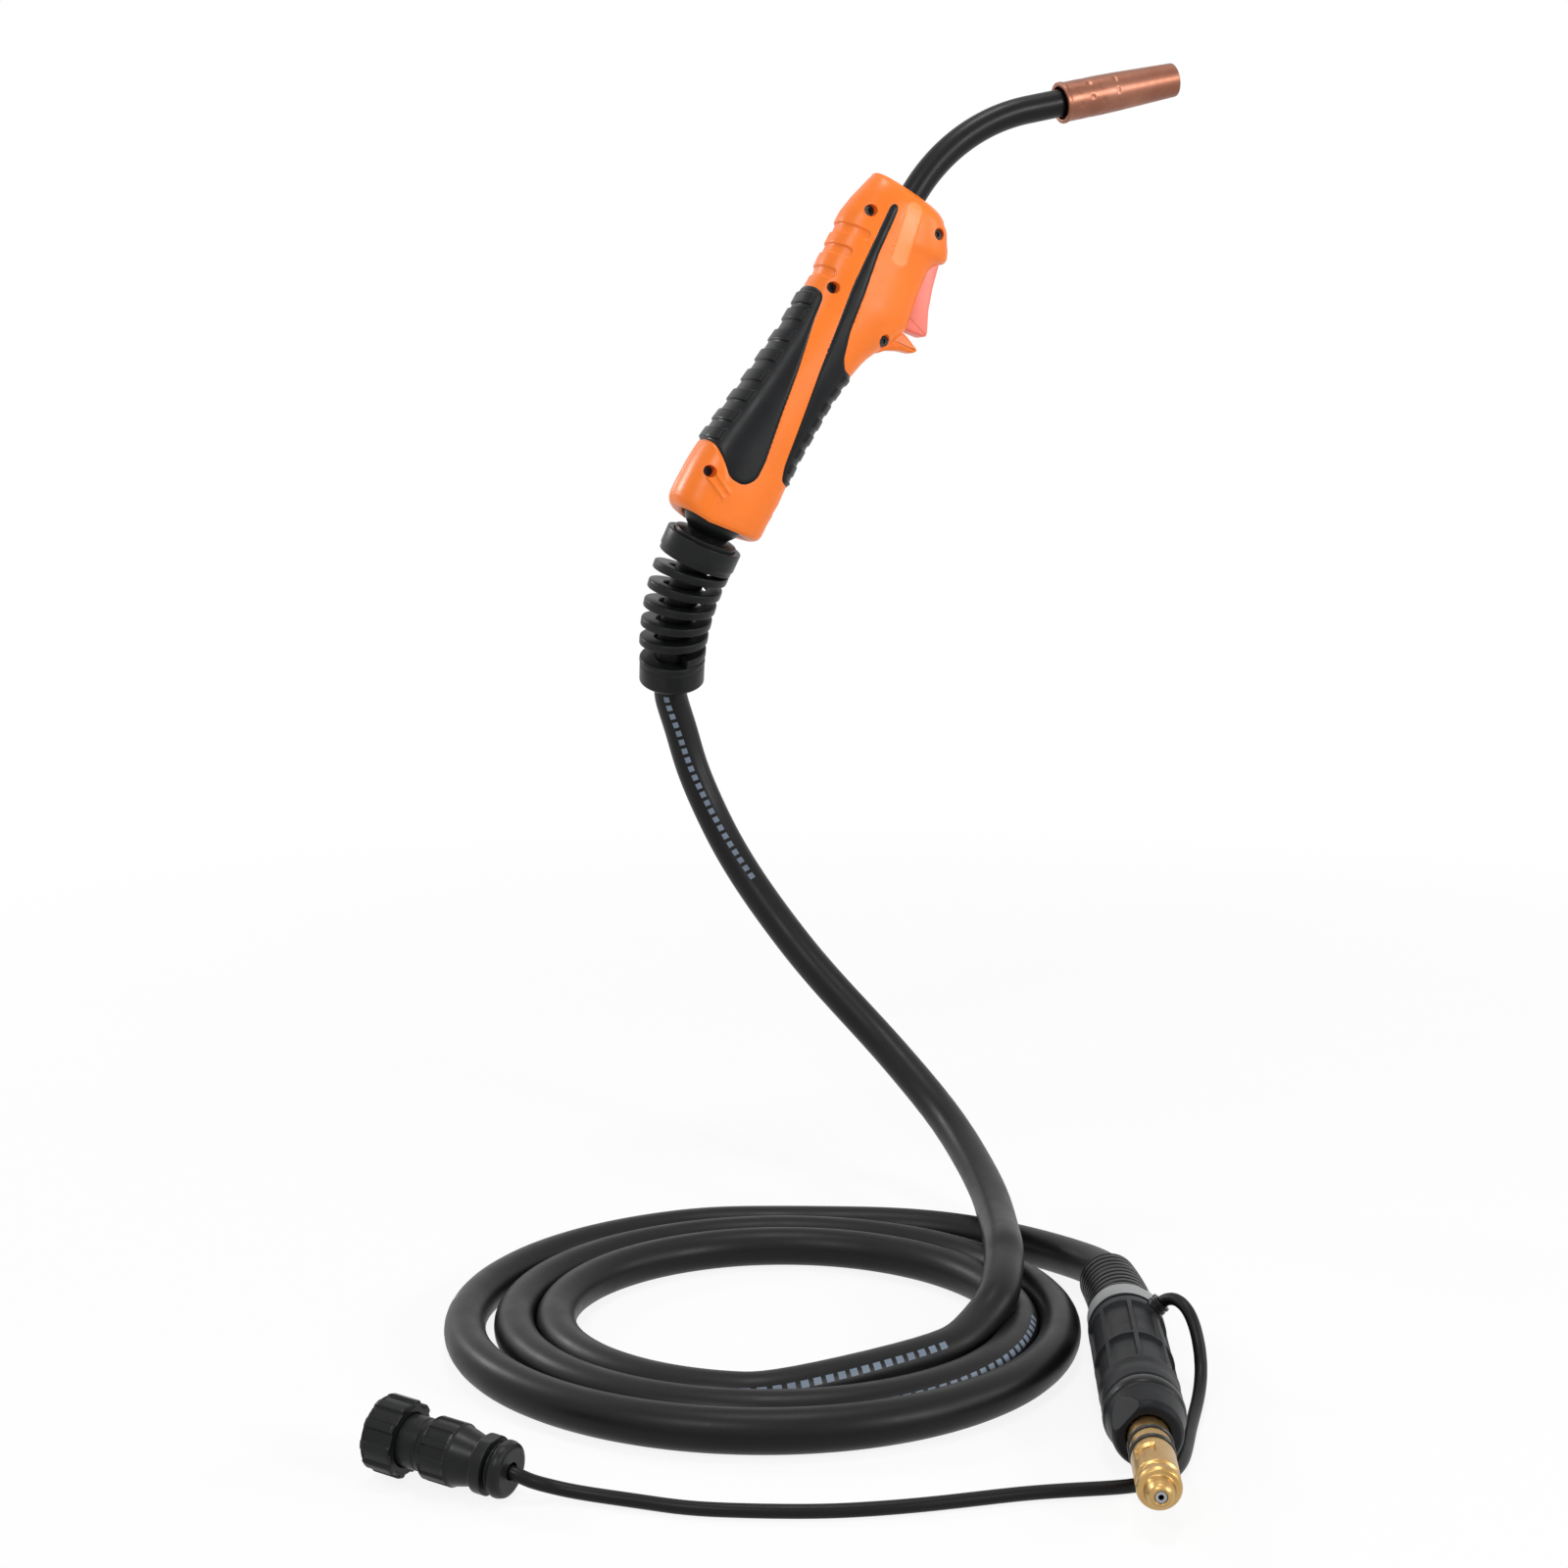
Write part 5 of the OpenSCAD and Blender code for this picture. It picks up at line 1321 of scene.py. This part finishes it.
# Name, place, size in metres and power in watts
LAMPS = (
    ("key_lamp", (-1.3, -1.5, 1.3), 0.4, 13), ("fill_lamp", (1.8, -1.0, 0.5), 0.5, 8),
    ("top_lamp", (0.0, -0.2, 1.9), 0.5, 12), ("rim_lamp", (-1.3, 1.3, 0.8), 0.4, 14),
    ("front_lamp", (0.97, -1.8, 0.5), 0.4, 14))
LAMP_AIM = (-0.02, -0.15, -0.12)
FLOOR_HALF, FLOOR_GAP = 6.0, 0.0004
WORLD_LIGHT = 0.35
WHITE = (1, 1, 1, 1)


class TORCH_OT_stage(bpy.types.Operator):
    """Builds the pale floor, the white surroundings and the studio lamps."""
    bl_idname = "torch.stage"
    bl_label = "Stage"

    def execute(self, context):
        context.scene.view_settings.view_transform = "Standard"
        build_floor()
        build_surroundings(context.scene)
        for lamp in LAMPS:
            add_lamp(*lamp)
        return {"FINISHED"}


def seen_directly(tree):
    """1 for camera, glossy and transmission rays: the largest of the three Light Path outputs."""
    rays = put(tree, "ShaderNodeLightPath").outputs
    either = put(tree, "ShaderNodeMath", {
        0: rays["Is Camera Ray"], 1: rays["Is Glossy Ray"]}, operation="MAXIMUM")
    return put(tree, "ShaderNodeMath", {
        0: either.outputs[0], 1: rays["Is Transmission Ray"]}, operation="MAXIMUM").outputs[0]


def build_floor():
    """A flat square under the cable: it glows where it is seen directly, more so further away."""
    corners = [(x * FLOOR_HALF, y * FLOOR_HALF, FLOOR * MM - FLOOR_GAP)
               for x, y in ((-1, -1), (1, -1), (1, 1), (-1, 1))]
    mesh = bpy.data.meshes.new("studio_floor")
    mesh.from_pydata(corners, [], [(0, 1, 2, 3)])
    floor = add_object("studio_floor", mesh)
    material, tree, shader = start_finish("studio_floor")
    shader.inputs["Base Color"].default_value = (0.86, 0.86, 0.86, 1)
    shader.inputs["Roughness"].default_value = 0.9
    shader.inputs["Specular IOR Level"].default_value = 0.0
    glow = put(tree, "ShaderNodeEmission", {"Color": WHITE, "Strength": 1.0})
    spot = put(tree, "ShaderNodeVectorMath", {
        0: put(tree, "ShaderNodeTexCoord").outputs["Object"]}, operation="LENGTH")
    glowing = put(tree, "ShaderNodeMapRange", {
        "Value": spot.outputs["Value"], "From Min": 0.55, "From Max": 1.3,
        "To Min": 0.87, "To Max": 1.0})
    share = put(tree, "ShaderNodeMath", {0: seen_directly(tree), 1: glowing.outputs["Result"]},
                operation="MULTIPLY")
    mix = put(tree, "ShaderNodeMixShader", {
        0: share.outputs[0], 1: shader.outputs[0], 2: glow.outputs[0]})
    tree.links.new(mix.outputs[0], tree.nodes["Material Output"].inputs["Surface"])
    mesh.materials.append(material)


def build_surroundings(scene):
    """White where it is seen directly, a grey level of light everywhere else."""
    world = bpy.data.worlds.new("studio")
    world.use_nodes = True
    tree = world.node_tree
    tree.nodes.clear()
    light, white = (put(tree, "ShaderNodeBackground", {"Color": WHITE, "Strength": strength}).outputs[0]
                    for strength in (WORLD_LIGHT, 1.0))
    mix = put(tree, "ShaderNodeMixShader", {0: seen_directly(tree), 1: light, 2: white})
    put(tree, "ShaderNodeOutputWorld", {"Surface": mix.outputs[0]})
    scene.world = world


def add_lamp(name, place, size, power):
    """A square soft lamp that faces the middle of the torch."""
    data = bpy.data.lights.new(name, "AREA")
    data.size = size
    data.energy = power
    lamp = add_object(name, data)
    lamp.location = place
    lamp.rotation_euler = facing(Vector(LAMP_AIM) - Vector(place))


class TORCH_PT_panel(bpy.types.Panel):
    """Lists the torch's sizes, colours and building steps."""
    bl_idname = "TORCH_PT_panel"
    bl_label = "Welding torch"
    bl_space_type = "VIEW_3D"
    bl_region_type = "UI"
    bl_category = "Torch"

    def draw(self, context):
        for group in (context.scene.torch_sizes, context.scene.torch_colours):
            for key in group.__annotations__:
                self.layout.prop(group, key)
        for operator in OPERATORS:
            self.layout.operator(operator.bl_idname)


OPERATORS = (
    TORCH_OT_camera, TORCH_OT_cables, TORCH_OT_handle, TORCH_OT_pads, TORCH_OT_trigger, TORCH_OT_neck,
    TORCH_OT_nozzle, TORCH_OT_support, TORCH_OT_connector, TORCH_OT_plug, TORCH_OT_finishes,
    TORCH_OT_declare_cords, TORCH_OT_stage)
CLASSES = (TorchSizes, TorchColours, *OPERATORS, TORCH_PT_panel)


def register():
    for each in CLASSES:
        bpy.utils.register_class(each)
    bpy.types.Scene.torch_sizes = bpy.props.PointerProperty(type=TorchSizes)
    bpy.types.Scene.torch_colours = bpy.props.PointerProperty(type=TorchColours)


def unregister():
    del bpy.types.Scene.torch_colours
    del bpy.types.Scene.torch_sizes
    for each in reversed(CLASSES):
        bpy.utils.unregister_class(each)


def main():
    register()
    for operator in OPERATORS:
        group, name = operator.bl_idname.split(".")
        getattr(getattr(bpy.ops, group), name)()


if __name__ == "__main__":
    main()
